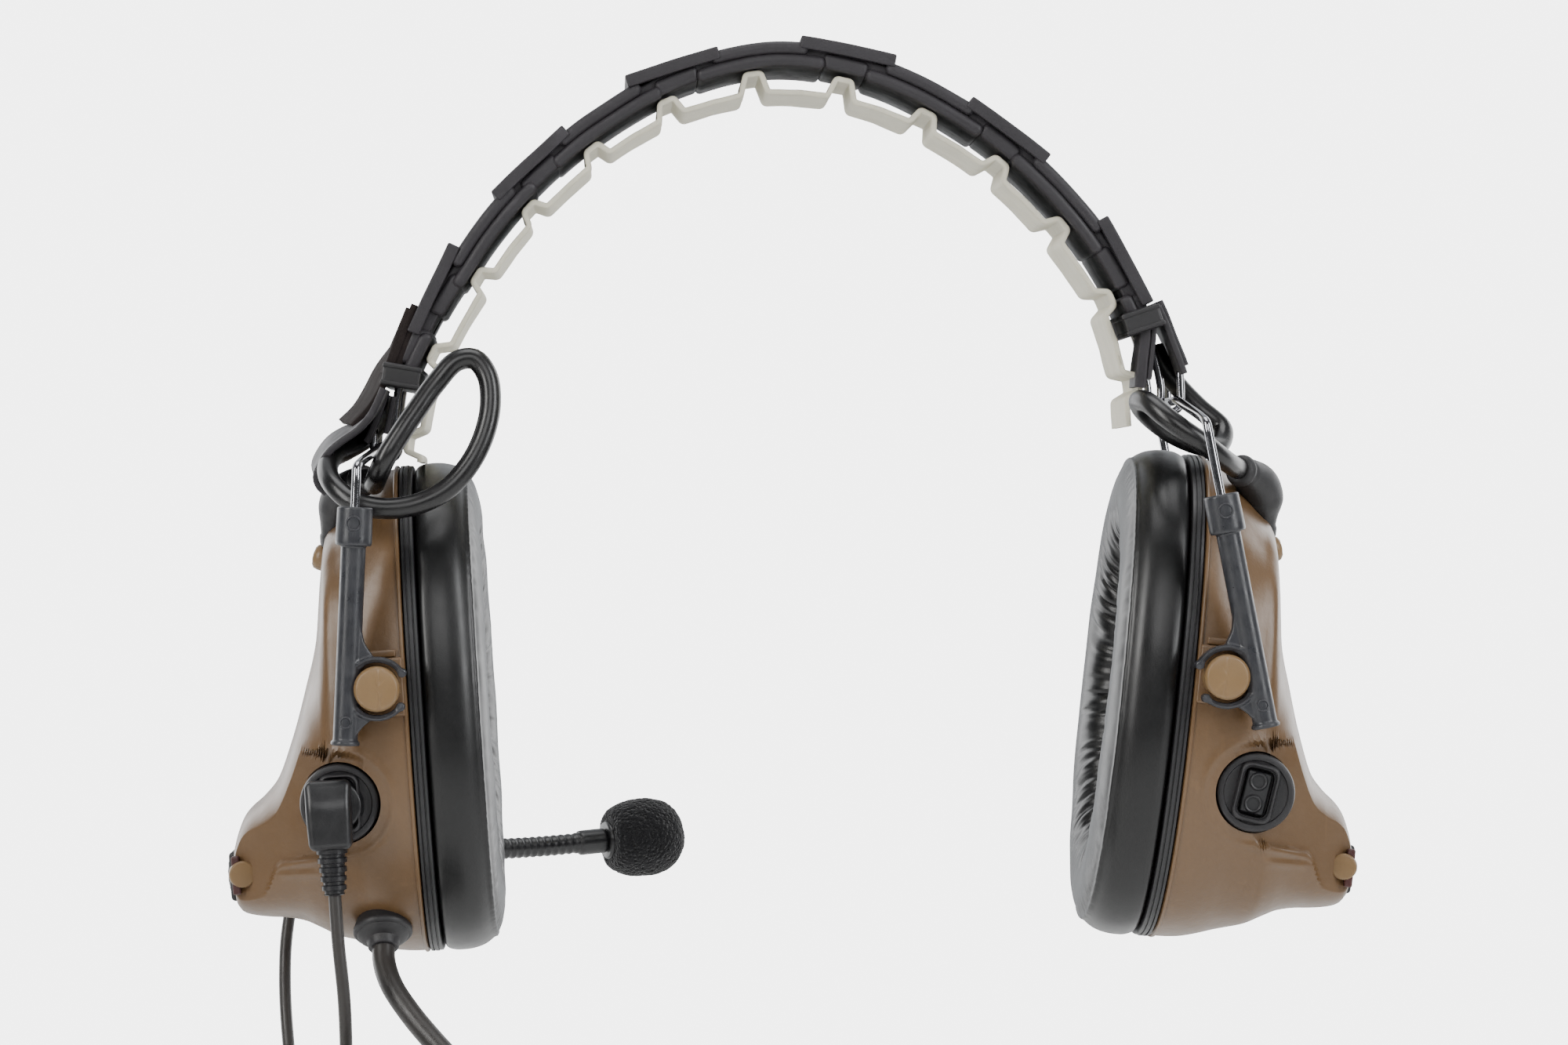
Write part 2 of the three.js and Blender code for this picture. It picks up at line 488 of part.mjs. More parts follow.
// ---------------------------------------------------------- cords and plugs
const fromCup = (side, p) => cups[side].localToWorld(vec(p)).toArray();
{
  // crossover cable: a loop at each side between headband and cup
  const left = [[-89.6, -1.2, -68.3], [-91.8, -4.4, -71.6], [-94.9, -10.4, -75.6], [-98.6, -17.4, -78.2], [-101.6, -25, -80.2],
    [-102.2, -31, -83.0], [-100.6, -36.2, -86.2], [-96.2, -39.4, -89.8], [-89.8, -40.2, -91.2], [-83.0, -40.2, -90.4],
    [-76.6, -39.8, -87.4], [-71.8, -38.8, -82.4], [-68.4, -37.4, -76], [-66.8, -36, -68.6], [-67.6, -34.8, -62.2],
    [-70.4, -34, -58.8], [-74.2, -34, -59.3], [-78.6, -35, -64], [-82.8, -36.8, -70], [-86.6, -38.4, -75.8],
    [-89.4, -39.0, -80.4], [-91.0, -37.2, -83.8], [-92.0, -32.8, -85.8]];
  const mouthL = fromCup("left", [-7.0, -23.4, 51.1]);
  add(headset, "crossover_loop_left", tube(spaced([...left, [-92.4, -28.4, -85.6], mouthL], 5), CABLE_R, 8), M.cable);
  const right = [[80.6, -1.0, -55.2], [82.6, -2.4, -59.6], [85.8, -4.4, -64.0], [90.0, -6.6, -68.6], [95.0, -8.8, -73.4],
    [93.8, -13.0, -77.0], [89.4, -17.6, -77.2], [84.2, -19.6, -75.4], [79.6, -20.8, -72.6], [76.0, -23.4, -69.6],
    [74.6, -28.4, -67.6], [76.2, -33.6, -68.2], [79.2, -37.0, -71.0], [83.0, -38.6, -74.0], [87.4, -38.6, -77.0],
    [91.2, -35.6, -79.6], [94.2, -30.6, -81.4]];
  const mouthR = fromCup("right", [7.0, -23.4, 51.1]);
  add(headset, "crossover_loop_right", tube(spaced([...right, mouthR], 5), CABLE_R, 8), M.cable);
}
{
  // right-angle plug in the left rear socket, ribbed relief below it
  const s = -1, cup = cups.left, [su, sw] = SOCKET;
  let plug = solid(box(s * (su + 6.9), s * (su - 2.8), -49.2, -40.1, sw - 9.4, sw + 5.4));
  plug = plug.add(solid(turned([[0, 0], [3.3, 0], [2.5, 10.2], [0, 10.2]], [s * (su + 2.0), -44.6, sw - 9.2], [0, 0, -1], 10)));
  add(cup, "microphone_plug", plug, M.plastic);
  const start = fromCup("left", [s * (su + 2.0), -44.6, sw - 19.4 - GAP]);
  const route = [start, [-99.2, -44.9, -184.1], [-98.0, -44.7, -195.9], [-97.6, -43.0, -206.6], [-97.9, -38.4, -219.5],
    [-99.4, -29, -232], [-101.8, -15, -241], [-104.6, 1, -244.4], [-108.4, 17, -240], [-112, 29.6, -229.4],
    [-114.6, 38, -215], [-115.8, 42.8, -200], [-115.4, 45.4, -188.5], [-113.4, 46.4, -178.6], [-109.6, 45.0, -171.6]];
  const end = [3.4, 0].map((k) => fromCup("left", [s * (BOOM[0] + 6.2 + GAP + k), 42.6, BOOM[1] - 2.5]));
  add(headset, "microphone_cable", tube(spaced([...route, ...end], 6.2), 1.4, 8), M.cable);
}
{
  // gland, downlead, coil, tie, tail and plug
  const s = -1, cup = cups.left, n = [0, -0.552, -0.834];
  const gland = turned([[0, -5], [4.6, -5], [6.2, 1.2], [5.8, 2.6], [3.4, 3.4], [3.0, 5.6], [0, 5.6]], [s * 9.3, -24.6, -46.4], n, 16);
  add(cup, "downlead_gland", solid(gland).subtract(outerForm(s, GAP)), M.rubber);
  const k = 5.6 + GAP, a = fromCup("left", [s * 9.3, -24.6 + n[1] * k, -46.4 + n[2] * k]);
  const b = fromCup("left", [s * 9.3, -24.6 + n[1] * (k + 3), -46.4 + n[2] * (k + 3)]);
  const c = [-86.2, -60, -243.4], R = 28;
  const onCoil = (deg, r = R, y = c[1]) => [c[0] + r * Math.cos(rad(deg)), y, c[2] + r * Math.sin(rad(deg))];
  const lead = [a, b, [-88.2, -33.6, -194.4], [-84.0, -37.6, -200.2], [-79.4, -41.8, -205.2], [-74.4, -46.4, -210.2],
    [-68.4, -51.6, -217.2], [-63.6, -56.2, -223.4]];
  add(headset, "downlead", tube(spaced(lead, 7), 2.5, 8), M.cable);
  // ring that the turns of the coil fill
  const half = 5.3, cut = 1.8;
  const sec = [[R - half, cut - half], [R - half, half - cut], [R - half + cut, half], [R + half - cut, half], [R + half, half - cut],
    [R + half, cut - half], [R + half - cut, -half], [R - half + cut, -half], [R - half, cut - half]];
  // its outside is notched where the lead arrives
  let coil = solid(turned(sec, c, [0, 1, 0], 30));
  const tail = [[-63.0, -57.2, -228.4]];
  coil = coil.subtract(solid(turned([[0, -12], [3.2, -12], [3.2, 3.6], [0, 3.6]], [-62.8, -57, -224.6], [0.45, -0.45, -0.8], 8)));
  add(headset, "downlead_coil", coil, M.cable);
  // tie round the bundle
  const t0 = 188, tg = (() => {
    const o = 7.0, i = 5.75;
    const band = solid(box(-o, o, -o, o, -2.4, 2.4)).subtract(solid(box(-i, i, -i, i, -4, 4)));
    return shape3(band).rotateY(-rad(t0)).translate(...onCoil(t0));
  })();
  add(headset, "coil_tie", tg, M.rubber);
  // plug hangs on the coil's rear face
  const px = -94.5, py = -73.8;
  add(headset, "radio_plug",
    turned([[0, 0], [3.6, 0], [4.4, 9], [7.2, 12], [7.2, 33], [6.2, 35], [3.55, 35], [3.55, 61], [2.2, 65], [0, 66]], [px, py, -226.3], [0, 0, -1], 16), M.plastic);
  const away = [onCoil(15, R, -66.6), [-60.2, -70.2, -235.2], [-63.4, -73.0, -231.2], [-67.4, py, -226.6]];
  for (let d = 5; d <= 180; d += 25) away.push([-82 + 12.5 * Math.cos(rad(d)), py, -221.5 + 12.5 * Math.sin(rad(d))]);
  away.push([px, py, -223.5], [px, py, -226]);
  add(headset, "downlead_tail", tube(spaced(away, 5), 2.5, 8), M.cable);
}

export default headset;
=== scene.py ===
# Looks of the communications headset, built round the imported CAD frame.
# Lengths in this file are in millimetres unless a name says otherwise; meshes are made in metres.
import json
import math
import bpy
import bmesh
import numpy as np
from mathutils import Vector, Matrix, noise

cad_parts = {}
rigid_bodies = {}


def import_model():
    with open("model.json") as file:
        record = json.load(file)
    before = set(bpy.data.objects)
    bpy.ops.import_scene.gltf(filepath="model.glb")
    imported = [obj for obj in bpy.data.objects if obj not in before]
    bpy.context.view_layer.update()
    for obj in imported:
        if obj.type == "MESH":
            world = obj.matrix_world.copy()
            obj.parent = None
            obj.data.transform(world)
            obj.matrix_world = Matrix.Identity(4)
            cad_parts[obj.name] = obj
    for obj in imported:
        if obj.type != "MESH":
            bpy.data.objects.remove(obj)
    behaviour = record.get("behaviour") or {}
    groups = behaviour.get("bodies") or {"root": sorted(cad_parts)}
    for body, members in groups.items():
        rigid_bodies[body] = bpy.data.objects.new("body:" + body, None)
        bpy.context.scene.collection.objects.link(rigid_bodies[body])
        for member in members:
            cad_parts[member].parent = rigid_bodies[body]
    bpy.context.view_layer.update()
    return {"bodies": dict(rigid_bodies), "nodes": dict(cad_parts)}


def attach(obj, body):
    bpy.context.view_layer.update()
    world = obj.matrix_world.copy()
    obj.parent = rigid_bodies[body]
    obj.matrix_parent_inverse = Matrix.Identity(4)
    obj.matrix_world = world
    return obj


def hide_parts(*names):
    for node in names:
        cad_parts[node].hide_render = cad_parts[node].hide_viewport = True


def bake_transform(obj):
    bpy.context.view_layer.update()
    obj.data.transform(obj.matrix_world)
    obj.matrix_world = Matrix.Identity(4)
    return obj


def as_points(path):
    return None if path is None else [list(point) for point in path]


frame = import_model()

NODES, BODIES = frame["nodes"], frame["bodies"]
scene = bpy.context.scene
rad, sin, cos = math.radians, math.sin, math.cos

# ------------------------------------------------------------------ camera and light
cam_data = bpy.data.cameras.new("camera")
cam_data.sensor_width, cam_data.lens = 36.0, 123.4
cam_data.clip_start, cam_data.clip_end = 0.05, 30
cam = bpy.data.objects.new("camera", cam_data)
cam.location = (-0.0419, -1.1993, -0.0942)
cam.rotation_euler = (rad(90), 0, rad(-1.9))
scene.collection.objects.link(cam)
scene.camera = cam

world = bpy.data.worlds.new("studio")
scene.world = world
world.use_nodes = True
wn, wl = world.node_tree.nodes, world.node_tree.links
wn.clear()
w_out, w_mix = wn.new("ShaderNodeOutputWorld"), wn.new("ShaderNodeMixShader")
w_dim, w_cam, w_path = wn.new("ShaderNodeBackground"), wn.new("ShaderNodeBackground"), wn.new("ShaderNodeLightPath")
w_dim.inputs[0].default_value = (0.94, 0.97, 1.0, 1)
w_cam.inputs[0].default_value, w_cam.inputs[1].default_value = (1, 1, 1, 1), 5.0
# bright backdrop behind the headset, a darker room on the camera's side
w_tex, w_sep, w_map = wn.new("ShaderNodeTexCoord"), wn.new("ShaderNodeSeparateXYZ"), wn.new("ShaderNodeMapRange")
w_map.interpolation_type = "SMOOTHSTEP"
w_map.inputs["From Min"].default_value, w_map.inputs["From Max"].default_value = -0.35, 0.9
w_map.inputs["To Min"].default_value, w_map.inputs["To Max"].default_value = 0.10, 0.95
wl.new(w_tex.outputs["Generated"], w_sep.inputs[0])
wl.new(w_sep.outputs["Y"], w_map.inputs["Value"])
wl.new(w_map.outputs[0], w_dim.inputs[1])
wl.new(w_path.outputs["Is Camera Ray"], w_mix.inputs[0])
wl.new(w_dim.outputs[0], w_mix.inputs[1])
wl.new(w_cam.outputs[0], w_mix.inputs[2])
wl.new(w_mix.outputs[0], w_out.inputs[0])


def lamp(name, at, to, size, power, colour=(1, 1, 1), size_y=None):
    d = bpy.data.lights.new(name, "AREA")
    d.energy, d.size, d.color = power, size, colour
    if size_y:
        d.shape, d.size_y = "RECTANGLE", size_y
    o = bpy.data.objects.new(name, d)
    o.location = at
    o.rotation_euler = (Vector(to) - Vector(at)).to_track_quat("-Z", "Y").to_euler()
    scene.collection.objects.link(o)
    return o


MID = (0, 0, -0.1)
lamp("key_left", (-0.95, -0.80, 0.40), MID, 0.35, 14, (1, 0.99, 0.97), 1.0)
lamp("key_right", (0.95, -0.72, 0.40), MID, 0.35, 14, (0.98, 0.99, 1), 1.0)
lamp("front", (0.0, -1.9, 0.75), MID, 0.9, 12)
lamp("over", (0.0, -0.1, 1.25), MID, 0.9, 11)
lamp("back_left", (-0.9, 0.9, 0.1), MID, 0.9, 12, (1, 1, 1), 1.4)
lamp("back_right", (0.9, 0.9, 0.1), MID, 0.9, 12, (1, 1, 1), 1.4)
lamp("low", (0.0, -0.7, -0.95), MID, 0.8, 1.2)


# ------------------------------------------------------------------ materials
def lin(h):
    h = h.lstrip("#")
    out = []
    for i in (0, 2, 4):
        c = int(h[i:i + 2], 16) / 255
        out.append(c / 12.92 if c <= 0.04045 else ((c + 0.055) / 1.055) ** 2.4)
    return out


def stuff(name, colour, rough, metal=0.0, var=0.10, patch=60, rough_var=0.08, grain=None, lumps=None,
          edge=None, hollow_tint=None, coat=0.0, coat_rough=0.2, sheen=0.0, spec=0.5, subsurface=0.0, streak=None,
          cells=None, pits=None):
    """A finished surface: colour patches, uneven gloss, grain, lighter convex edges (partly wear, partly painted
    highlight), a tint in hollows.
    """
    m = bpy.data.materials.new(name)
    m.use_nodes = True
    nt = m.node_tree
    N, L = nt.nodes, nt.links
    b = N["Principled BSDF"]
    b.inputs["Metallic"].default_value = metal
    b.inputs["Specular IOR Level"].default_value = spec
    b.inputs["Coat Weight"].default_value = coat
    b.inputs["Coat Roughness"].default_value = coat_rough
    b.inputs["Sheen Weight"].default_value = sheen
    if subsurface:
        b.inputs["Subsurface Weight"].default_value = subsurface
        b.inputs["Subsurface Radius"].default_value = (0.003, 0.002, 0.001)
    tc = N.new("ShaderNodeTexCoord")
    c = lin(colour)

    def tint(k):
        return tuple(min(1, v * k) for v in c) + (1,)

    def noise_node(scale, detail=3, r=0.6, distort=0.0, stretch=None):
        n = N.new("ShaderNodeTexNoise")
        n.inputs["Scale"].default_value, n.inputs["Detail"].default_value = scale, detail
        n.inputs["Roughness"].default_value, n.inputs["Distortion"].default_value = r, distort
        if stretch:
            mp = N.new("ShaderNodeMapping")
            mp.inputs["Scale"].default_value = stretch
            L.new(tc.outputs["Object"], mp.inputs[0])
            L.new(mp.outputs[0], n.inputs["Vector"])
        else:
            L.new(tc.outputs["Object"], n.inputs["Vector"])
        return n.outputs["Fac"]

    def remap(src, a, z, lo=0.0, hi=1.0):
        n = N.new("ShaderNodeMapRange")
        n.inputs["From Min"].default_value, n.inputs["From Max"].default_value = a, z
        n.inputs["To Min"].default_value, n.inputs["To Max"].default_value = lo, hi
        L.new(src, n.inputs["Value"])
        return n.outputs["Result"]

    def mixc(fac, a, z):
        n = N.new("ShaderNodeMix")
        n.data_type = "RGBA"
        L.new(fac, n.inputs["Factor"])
        for s, v in ((n.inputs[6], a), (n.inputs[7], z)):
            if isinstance(v, tuple):
                s.default_value = v
            else:
                L.new(v, s)
        return n.outputs[2]

    def mul(x, k):
        n = N.new("ShaderNodeMath")
        n.operation = "MULTIPLY"
        L.new(x, n.inputs[0])
        if isinstance(k, (int, float)):
            n.inputs[1].default_value = k
        else:
            L.new(k, n.inputs[1])
        return n.outputs[0]

    col = mixc(remap(noise_node(patch, 4), 0.3, 0.7), tint(1 - var), tint(1 + var))
    col = mixc(mul(remap(noise_node(patch * 9, 3), 0.52, 0.75), 0.5), col, tint(1 + 1.6 * var))
    ro = remap(noise_node(patch * 1.7, 3), 0.3, 0.7, max(0.02, rough - rough_var), min(1, rough + rough_var))
    geo = N.new("ShaderNodeNewGeometry")
    # lighter convex edges: partly wear, partly a painted highlight on edges and lips
    if edge:
        amount, lift = edge
        f = mul(remap(geo.outputs["Pointiness"], 0.52, 0.62), remap(noise_node(patch * 6, 4), 0.35, 0.65, 0.3, 1.0))
        f = mul(f, amount)
        col = mixc(f, col, tint(lift))
    # tint in concave hollows: lighter grey like dust on the black rubber, darker on the tan shell and the cream pad
    if hollow_tint:
        amount, hexcol = hollow_tint
        f = mul(remap(geo.outputs["Pointiness"], 0.495, 0.44), remap(noise_node(patch * 3, 4), 0.35, 0.7, 0.2, 1.0))
        f = mul(f, amount)
        col = mixc(f, col, tuple(lin(hexcol)) + (1,))
    if streak:
        amount, scale, stretch, lift = streak
        f = mul(remap(noise_node(scale, 2, 0.5, 0.2, stretch), 0.66, 0.72), amount)
        col = mixc(f, col, tint(lift))
    L.new(col, b.inputs["Base Color"])
    L.new(ro, b.inputs["Roughness"])
    normal = None
    for kind, spec_ in (("lumps", lumps), ("cells", cells), ("grain", grain), ("pits", pits)):
        if not spec_:
            continue
        scale, strength, dist = spec_
        bp = N.new("ShaderNodeBump")
        bp.inputs["Strength"].default_value, bp.inputs["Distance"].default_value = strength, dist * 0.001
        if kind == "cells":
            v = N.new("ShaderNodeTexVoronoi")
            v.feature = "DISTANCE_TO_EDGE"
            v.inputs["Scale"].default_value = scale
            L.new(tc.outputs["Object"], v.inputs["Vector"])
            L.new(remap(v.outputs["Distance"], 0.0, 0.12), bp.inputs["Height"])
        elif kind == "pits":
            v = N.new("ShaderNodeTexVoronoi")
            v.inputs["Scale"].default_value = scale
            L.new(tc.outputs["Object"], v.inputs["Vector"])
            L.new(remap(v.outputs["Distance"], 0.15, 0.6), bp.inputs["Height"])
        else:
            L.new(noise_node(scale, 5, 0.62), bp.inputs["Height"])
        if normal:
            L.new(normal, bp.inputs["Normal"])
        normal = bp.outputs["Normal"]
    if normal:
        L.new(normal, b.inputs["Normal"])
    return m


MAT = {
    "shell": stuff("shell_tan", "5d462d", 0.35, var=0.05, patch=45, rough_var=0.06, lumps=(420, 0.26, 0.25), grain=(2600, 0.28, 0.06),
                   edge=(0.30, 1.5), hollow_tint=(0.15, "4f3c28"), streak=(0.25, 260, (1, 3, 0.12), 1.35), spec=0.5),
    "pin": stuff("pin_tan", "71593a", 0.40, var=0.05, patch=90, lumps=(700, 0.12, 0.1), grain=(2600, 0.2, 0.05), edge=(0.4, 1.3)),
    "slider": stuff("slider_grey", "25262a", 0.38, var=0.14, patch=160, rough_var=0.12, lumps=(520, 0.25, 0.16), grain=(3000, 0.25, 0.05),
                    edge=(0.35, 1.9), streak=(0.4, 500, (1, 1, 0.15), 1.7)),
    "cover": stuff("cover_rubber", "29272a", 0.54, spec=0.34, var=0.12, patch=70, rough_var=0.10, lumps=(260, 0.25, 0.3), grain=(3200, 0.35, 0.05),
                   edge=(0.45, 2.3), hollow_tint=(0.3, "4a4440")),
    # darker, duller copy of the cover rubber for the left leaf; its darker colour is painted shade
    "leaf": stuff("cover_leaf_painted_shade", "241f1e", 0.88, spec=0.10, var=0.16, patch=90, lumps=(300, 0.3, 0.3), grain=(2400, 0.4, 0.06), edge=(0.3, 1.9)),
    "rubber": stuff("soft_rubber", "171618", 0.54, var=0.12, patch=90, lumps=(400, 0.15, 0.15), grain=(3400, 0.35, 0.05),
                    edge=(0.4, 2.0), hollow_tint=(0.2, "474340")),
    "pad": stuff("pad_cream", "bdb9a8", 0.62, var=0.07, patch=80, lumps=(340, 0.3, 0.25), grain=(2400, 0.4, 0.06),
                 edge=(0.3, 1.12), hollow_tint=(0.75, "6f6a5b"), subsurface=0.06, spec=0.35),
    "vinyl": stuff("cushion_vinyl", "09090a", 0.34, var=0.2, patch=50, rough_var=0.05, lumps=(150, 0.07, 0.3), cells=(1500, 0.10, 0.05),
                   grain=(3600, 0.12, 0.04), edge=(0.25, 2.2), spec=0.40, coat=0.06, coat_rough=0.25),
    "ring": stuff("ring_black", "141416", 0.44, var=0.12, patch=90, grain=(3000, 0.3, 0.05), edge=(0.4, 2.2)),
    "plastic": stuff("plastic_black", "131315", 0.36, var=0.15, patch=120, lumps=(600, 0.2, 0.12), grain=(2800, 0.25, 0.05), edge=(0.4, 2.4)),
    "cable": stuff("cable_jacket", "0c0b0c", 0.31, var=0.12, patch=100, rough_var=0.06, lumps=(220, 0.12, 0.2), grain=(3600, 0.18, 0.04), spec=0.5),
    "lead": stuff("lead_jacket", "2a2725", 0.42, var=0.10, patch=100, rough_var=0.06, lumps=(220, 0.12, 0.2), grain=(3600, 0.18, 0.04), spec=0.5),
    "steel": stuff("steel_wire", "9c9ca0", 0.13, metal=1.0, var=0.05, patch=150, rough_var=0.04, grain=(1800, 0.05, 0.02)),
    "foam": stuff("foam_black", "1b1b1d", 0.95, var=0.22, patch=300, pits=(1100, 0.9, 0.5), grain=(2600, 0.5, 0.15), sheen=0.15, spec=0.2),
    "circuit": stuff("circuit_green", "1f5a34", 0.35, var=0.10, patch=200, cells=(500, 0.2, 0.05), coat=0.4),
    "battery": stuff("battery_can", "9a9ca0", 0.30, metal=0.8, var=0.06, patch=160, grain=(2000, 0.1, 0.03)),
    "nickel": stuff("plug_nickel", "c6c2b8", 0.20, metal=1.0, var=0.04, patch=200, grain=(2000, 0.08, 0.03), streak=(0.3, 800, (1, 1, 0.1), 0.75)),
    "red": stuff("gasket_red", "3a1512", 0.45, var=0.15, patch=200, grain=(2500, 0.3, 0.05)),
}


# ------------------------------------------------------------------ mesh helpers
def piece(name, verts, faces, mat, smooth=40):
    me = bpy.data.meshes.new(name)
    me.from_pydata([tuple(float(c) * 0.001 for c in v) for v in verts], [], [tuple(int(i) for i in f) for f in faces])
    me.validate()
    o = bpy.data.objects.new(name, me)
    scene.collection.objects.link(o)
    me.materials.append(MAT[mat])
    tidy(o, smooth)
    return o


def tidy(o, smooth=40):
    """Outward faces, no doubles, smooth shading under the given angle."""
    bm = bmesh.new()
    bm.from_mesh(o.data)
    bmesh.ops.remove_doubles(bm, verts=bm.verts, dist=1e-6)
    bmesh.ops.recalc_face_normals(bm, faces=bm.faces)
    bm.to_mesh(o.data)
    bm.free()
    for p in o.data.polygons:
        p.use_smooth = True
    o.data.set_sharp_from_angle(angle=rad(smooth))


def join(name, parts, mat=None, smooth=40):
    """Several (verts, faces) lists, or objects, as one piece."""
    V, F = [], []
    for p in parts:
        if isinstance(p, bpy.types.Object):
            v = [tuple(c * 1000 for c in x.co) for x in p.data.vertices]
            f = [tuple(x.vertices) for x in p.data.polygons]
            bpy.data.objects.remove(p)
        else:
            v, f = p
        n = len(V)
        V += [tuple(x) for x in v]
        F += [tuple(i + n for i in x) for x in f]
    return piece(name, V, F, mat, smooth)


def bake(o):
    """Applies the modifiers."""
    dg = bpy.context.evaluated_depsgraph_get()
    me = bpy.data.meshes.new_from_object(o.evaluated_get(dg))
    o.modifiers.clear()
    old = o.data
    o.data = me
    bpy.data.meshes.remove(old)
    return o


def fuse(o, voxel, rounds=2, factor=0.5, smooth=60):
    """One skin over everything in the piece, with small fillets where parts meet."""
    m = o.modifiers.new("skin", "REMESH")
    m.mode, m.voxel_size, m.use_smooth_shade = "VOXEL", voxel * 0.001, True
    s = o.modifiers.new("soften", "SMOOTH")
    s.factor, s.iterations = factor, rounds
    bake(o)
    tidy(o, smooth)
    return o


def cut(o, tool):
    """Takes the tool out of the piece; keeps the piece as it was if that would lose most of it."""
    for own in (False, True):
        kept = o.data.copy()
        m = o.modifiers.new("cut", "BOOLEAN")
        m.operation, m.object, m.solver, m.use_self = "DIFFERENCE", tool, "EXACT", own
        bake(o)
        if len(o.data.polygons) > 0.6 * len(kept.polygons):
            bpy.data.meshes.remove(kept)
            break
        print("cut lost the piece", o.name, len(o.data.polygons), "of", len(kept.polygons), "with use_self", own)
        o.data = kept
    bpy.data.objects.remove(tool)
    return o


def unit(v):
    v = np.asarray(v, float)
    return v / (np.linalg.norm(v) or 1)


def spline(points, step, closed=False):
    """Centripetal Catmull-Rom through the points, at an even spacing."""
    P = np.array(points, float)
    P = np.vstack([2 * P[0] - P[1], P, 2 * P[-1] - P[-2]])
    out = []
    for i in range(1, len(P) - 2):
        p0, p1, p2, p3 = P[i - 1:i + 3]
        t0 = 0.0
        t1 = t0 + max(np.linalg.norm(p1 - p0), 1e-6) ** 0.5
        t2 = t1 + max(np.linalg.norm(p2 - p1), 1e-6) ** 0.5
        t3 = t2 + max(np.linalg.norm(p3 - p2), 1e-6) ** 0.5
        for t in np.linspace(t1, t2, 24, endpoint=False):
            a1 = (t1 - t) / (t1 - t0) * p0 + (t - t0) / (t1 - t0) * p1
            a2 = (t2 - t) / (t2 - t1) * p1 + (t - t1) / (t2 - t1) * p2
            a3 = (t3 - t) / (t3 - t2) * p2 + (t - t2) / (t3 - t2) * p3
            b1 = (t2 - t) / (t2 - t0) * a1 + (t - t0) / (t2 - t0) * a2
            b2 = (t3 - t) / (t3 - t1) * a2 + (t - t1) / (t3 - t1) * a3
            out.append((t2 - t) / (t2 - t1) * b1 + (t - t1) / (t2 - t1) * b2)
    out.append(P[-2])
    out = np.array(out)
    d = np.concatenate([[0], np.cumsum(np.linalg.norm(np.diff(out, axis=0), axis=1))])
    n = max(2, int(round(d[-1] / step)))
    s = np.linspace(0, d[-1], n + 1)
    return np.stack([np.interp(s, d, out[:, k]) for k in range(3)], 1)


def frames_of(P):
    """Tangents and two normals carried along a path without twist."""
    T = np.gradient(P, axis=0)
    T /= np.linalg.norm(T, axis=1)[:, None]
    up = np.array([0, 0, 1.0]) if abs(T[0][2]) < 0.9 else np.array([0, 1.0, 0])
    n = unit(np.cross(np.cross(T[0], up), T[0]))
    A, B = [], []
    for t in T:
        n = unit(n - t * np.dot(n, t))
        A.append(n)
        B.append(np.cross(t, n))
    return T, np.array(A), np.array(B)


def sweep(P, radius, sides=16, end=0.35):
    """Round rod along a path; radius is a number or a list, with eased ends."""
    P = np.array(P, float)
    R = np.full(len(P), float(radius)) if np.isscalar(radius) else np.array(radius, float)
    T, A, B = frames_of(P)
    rings = []
    if end:
        for k in (1.0, 0.7, 0.35, 0.0):
            rings.append((P[0] - T[0] * end * R[0] * math.sin(k * math.pi / 2), R[0] * (math.cos(k * math.pi / 2) * end + 1 - end) if k < 1 else R[0] * (1 - end), T[0], A[0], B[0]))
    for p, r, t, a, b in zip(P, R, T, A, B):
        rings.append((p, r, t, a, b))
    if end:
        for k in (0.35, 0.7, 1.0):
            rings.append((P[-1] + T[-1] * end * R[-1] * math.sin(k * math.pi / 2), R[-1] * (math.cos(k * math.pi / 2) * end + 1 - end) if k < 1 else R[-1] * (1 - end), T[-1], A[-1], B[-1]))
    V, F = [], []
    for p, r, t, a, b in rings:
        for i in range(sides):
            q = 2 * math.pi * i / sides
            V.append(p + a * r * cos(q) + b * r * sin(q))
    m = len(rings)
    for k in range(m - 1):
        for i in range(sides):
            j = (i + 1) % sides
            F.append((k * sides + i, k * sides + j, (k + 1) * sides + j, (k + 1) * sides + i))
    F.append(tuple(range(sides))[::-1])
    F.append(tuple((m - 1) * sides + i for i in range(sides)))
    return V, F


def fillet(points, r, seg=4, closed=False):
    """Polyline with its corners rounded; r is a number or one per point."""
    P = [np.array(p, float) for p in points]
    n, out = len(P), []
    R = [r] * n if np.isscalar(r) else list(r)
    for i in range(n):
        if not closed and i in (0, n - 1):
            out.append(P[i])
            continue
        a, b, c = P[i - 1], P[i], P[(i + 1) % n]
        la, lc = np.linalg.norm(a - b), np.linalg.norm(c - b)
        k = min(R[i], 0.48 * la, 0.48 * lc)
        if k < 1e-6:
            out.append(b)
            continue
        s, e = b + (a - b) / la * k, b + (c - b) / lc * k
        for t in np.linspace(0, 1, seg + 1):
            out.append((1 - t) ** 2 * s + 2 * t * (1 - t) * b + t * t * e)
    return out


def lathe(profile, at, axis, n=48, wave=None):
    """Turned solid; profile is [radius, along] from axis to axis. wave(angle, r, h) changes the radius."""
    z = unit(axis)
    x = unit(np.cross([0, 0, 1.0] if abs(z[2]) < 0.9 else [0, 1.0, 0], z))
    y = np.cross(z, x)
    at = np.array(at, float)
    V, F = [], []
    for r, h in profile:
        for i in range(n):
            q = 2 * math.pi * i / n
            rr = r if not wave else wave(q, r, h)
            V.append(at + x * rr * cos(q) + y * rr * sin(q) + z * h)
    m = len(profile)
    for k in range(m - 1):
        for i in range(n):
            j = (i + 1) % n
            F.append((k * n + i, k * n + j, (k + 1) * n + j, (k + 1) * n + i))
    if profile[0][0] > 1e-3:
        F.append(tuple(range(n))[::-1])
    if profile[-1][0] > 1e-3:
        F.append(tuple((m - 1) * n + i for i in range(n)))
    return V, F


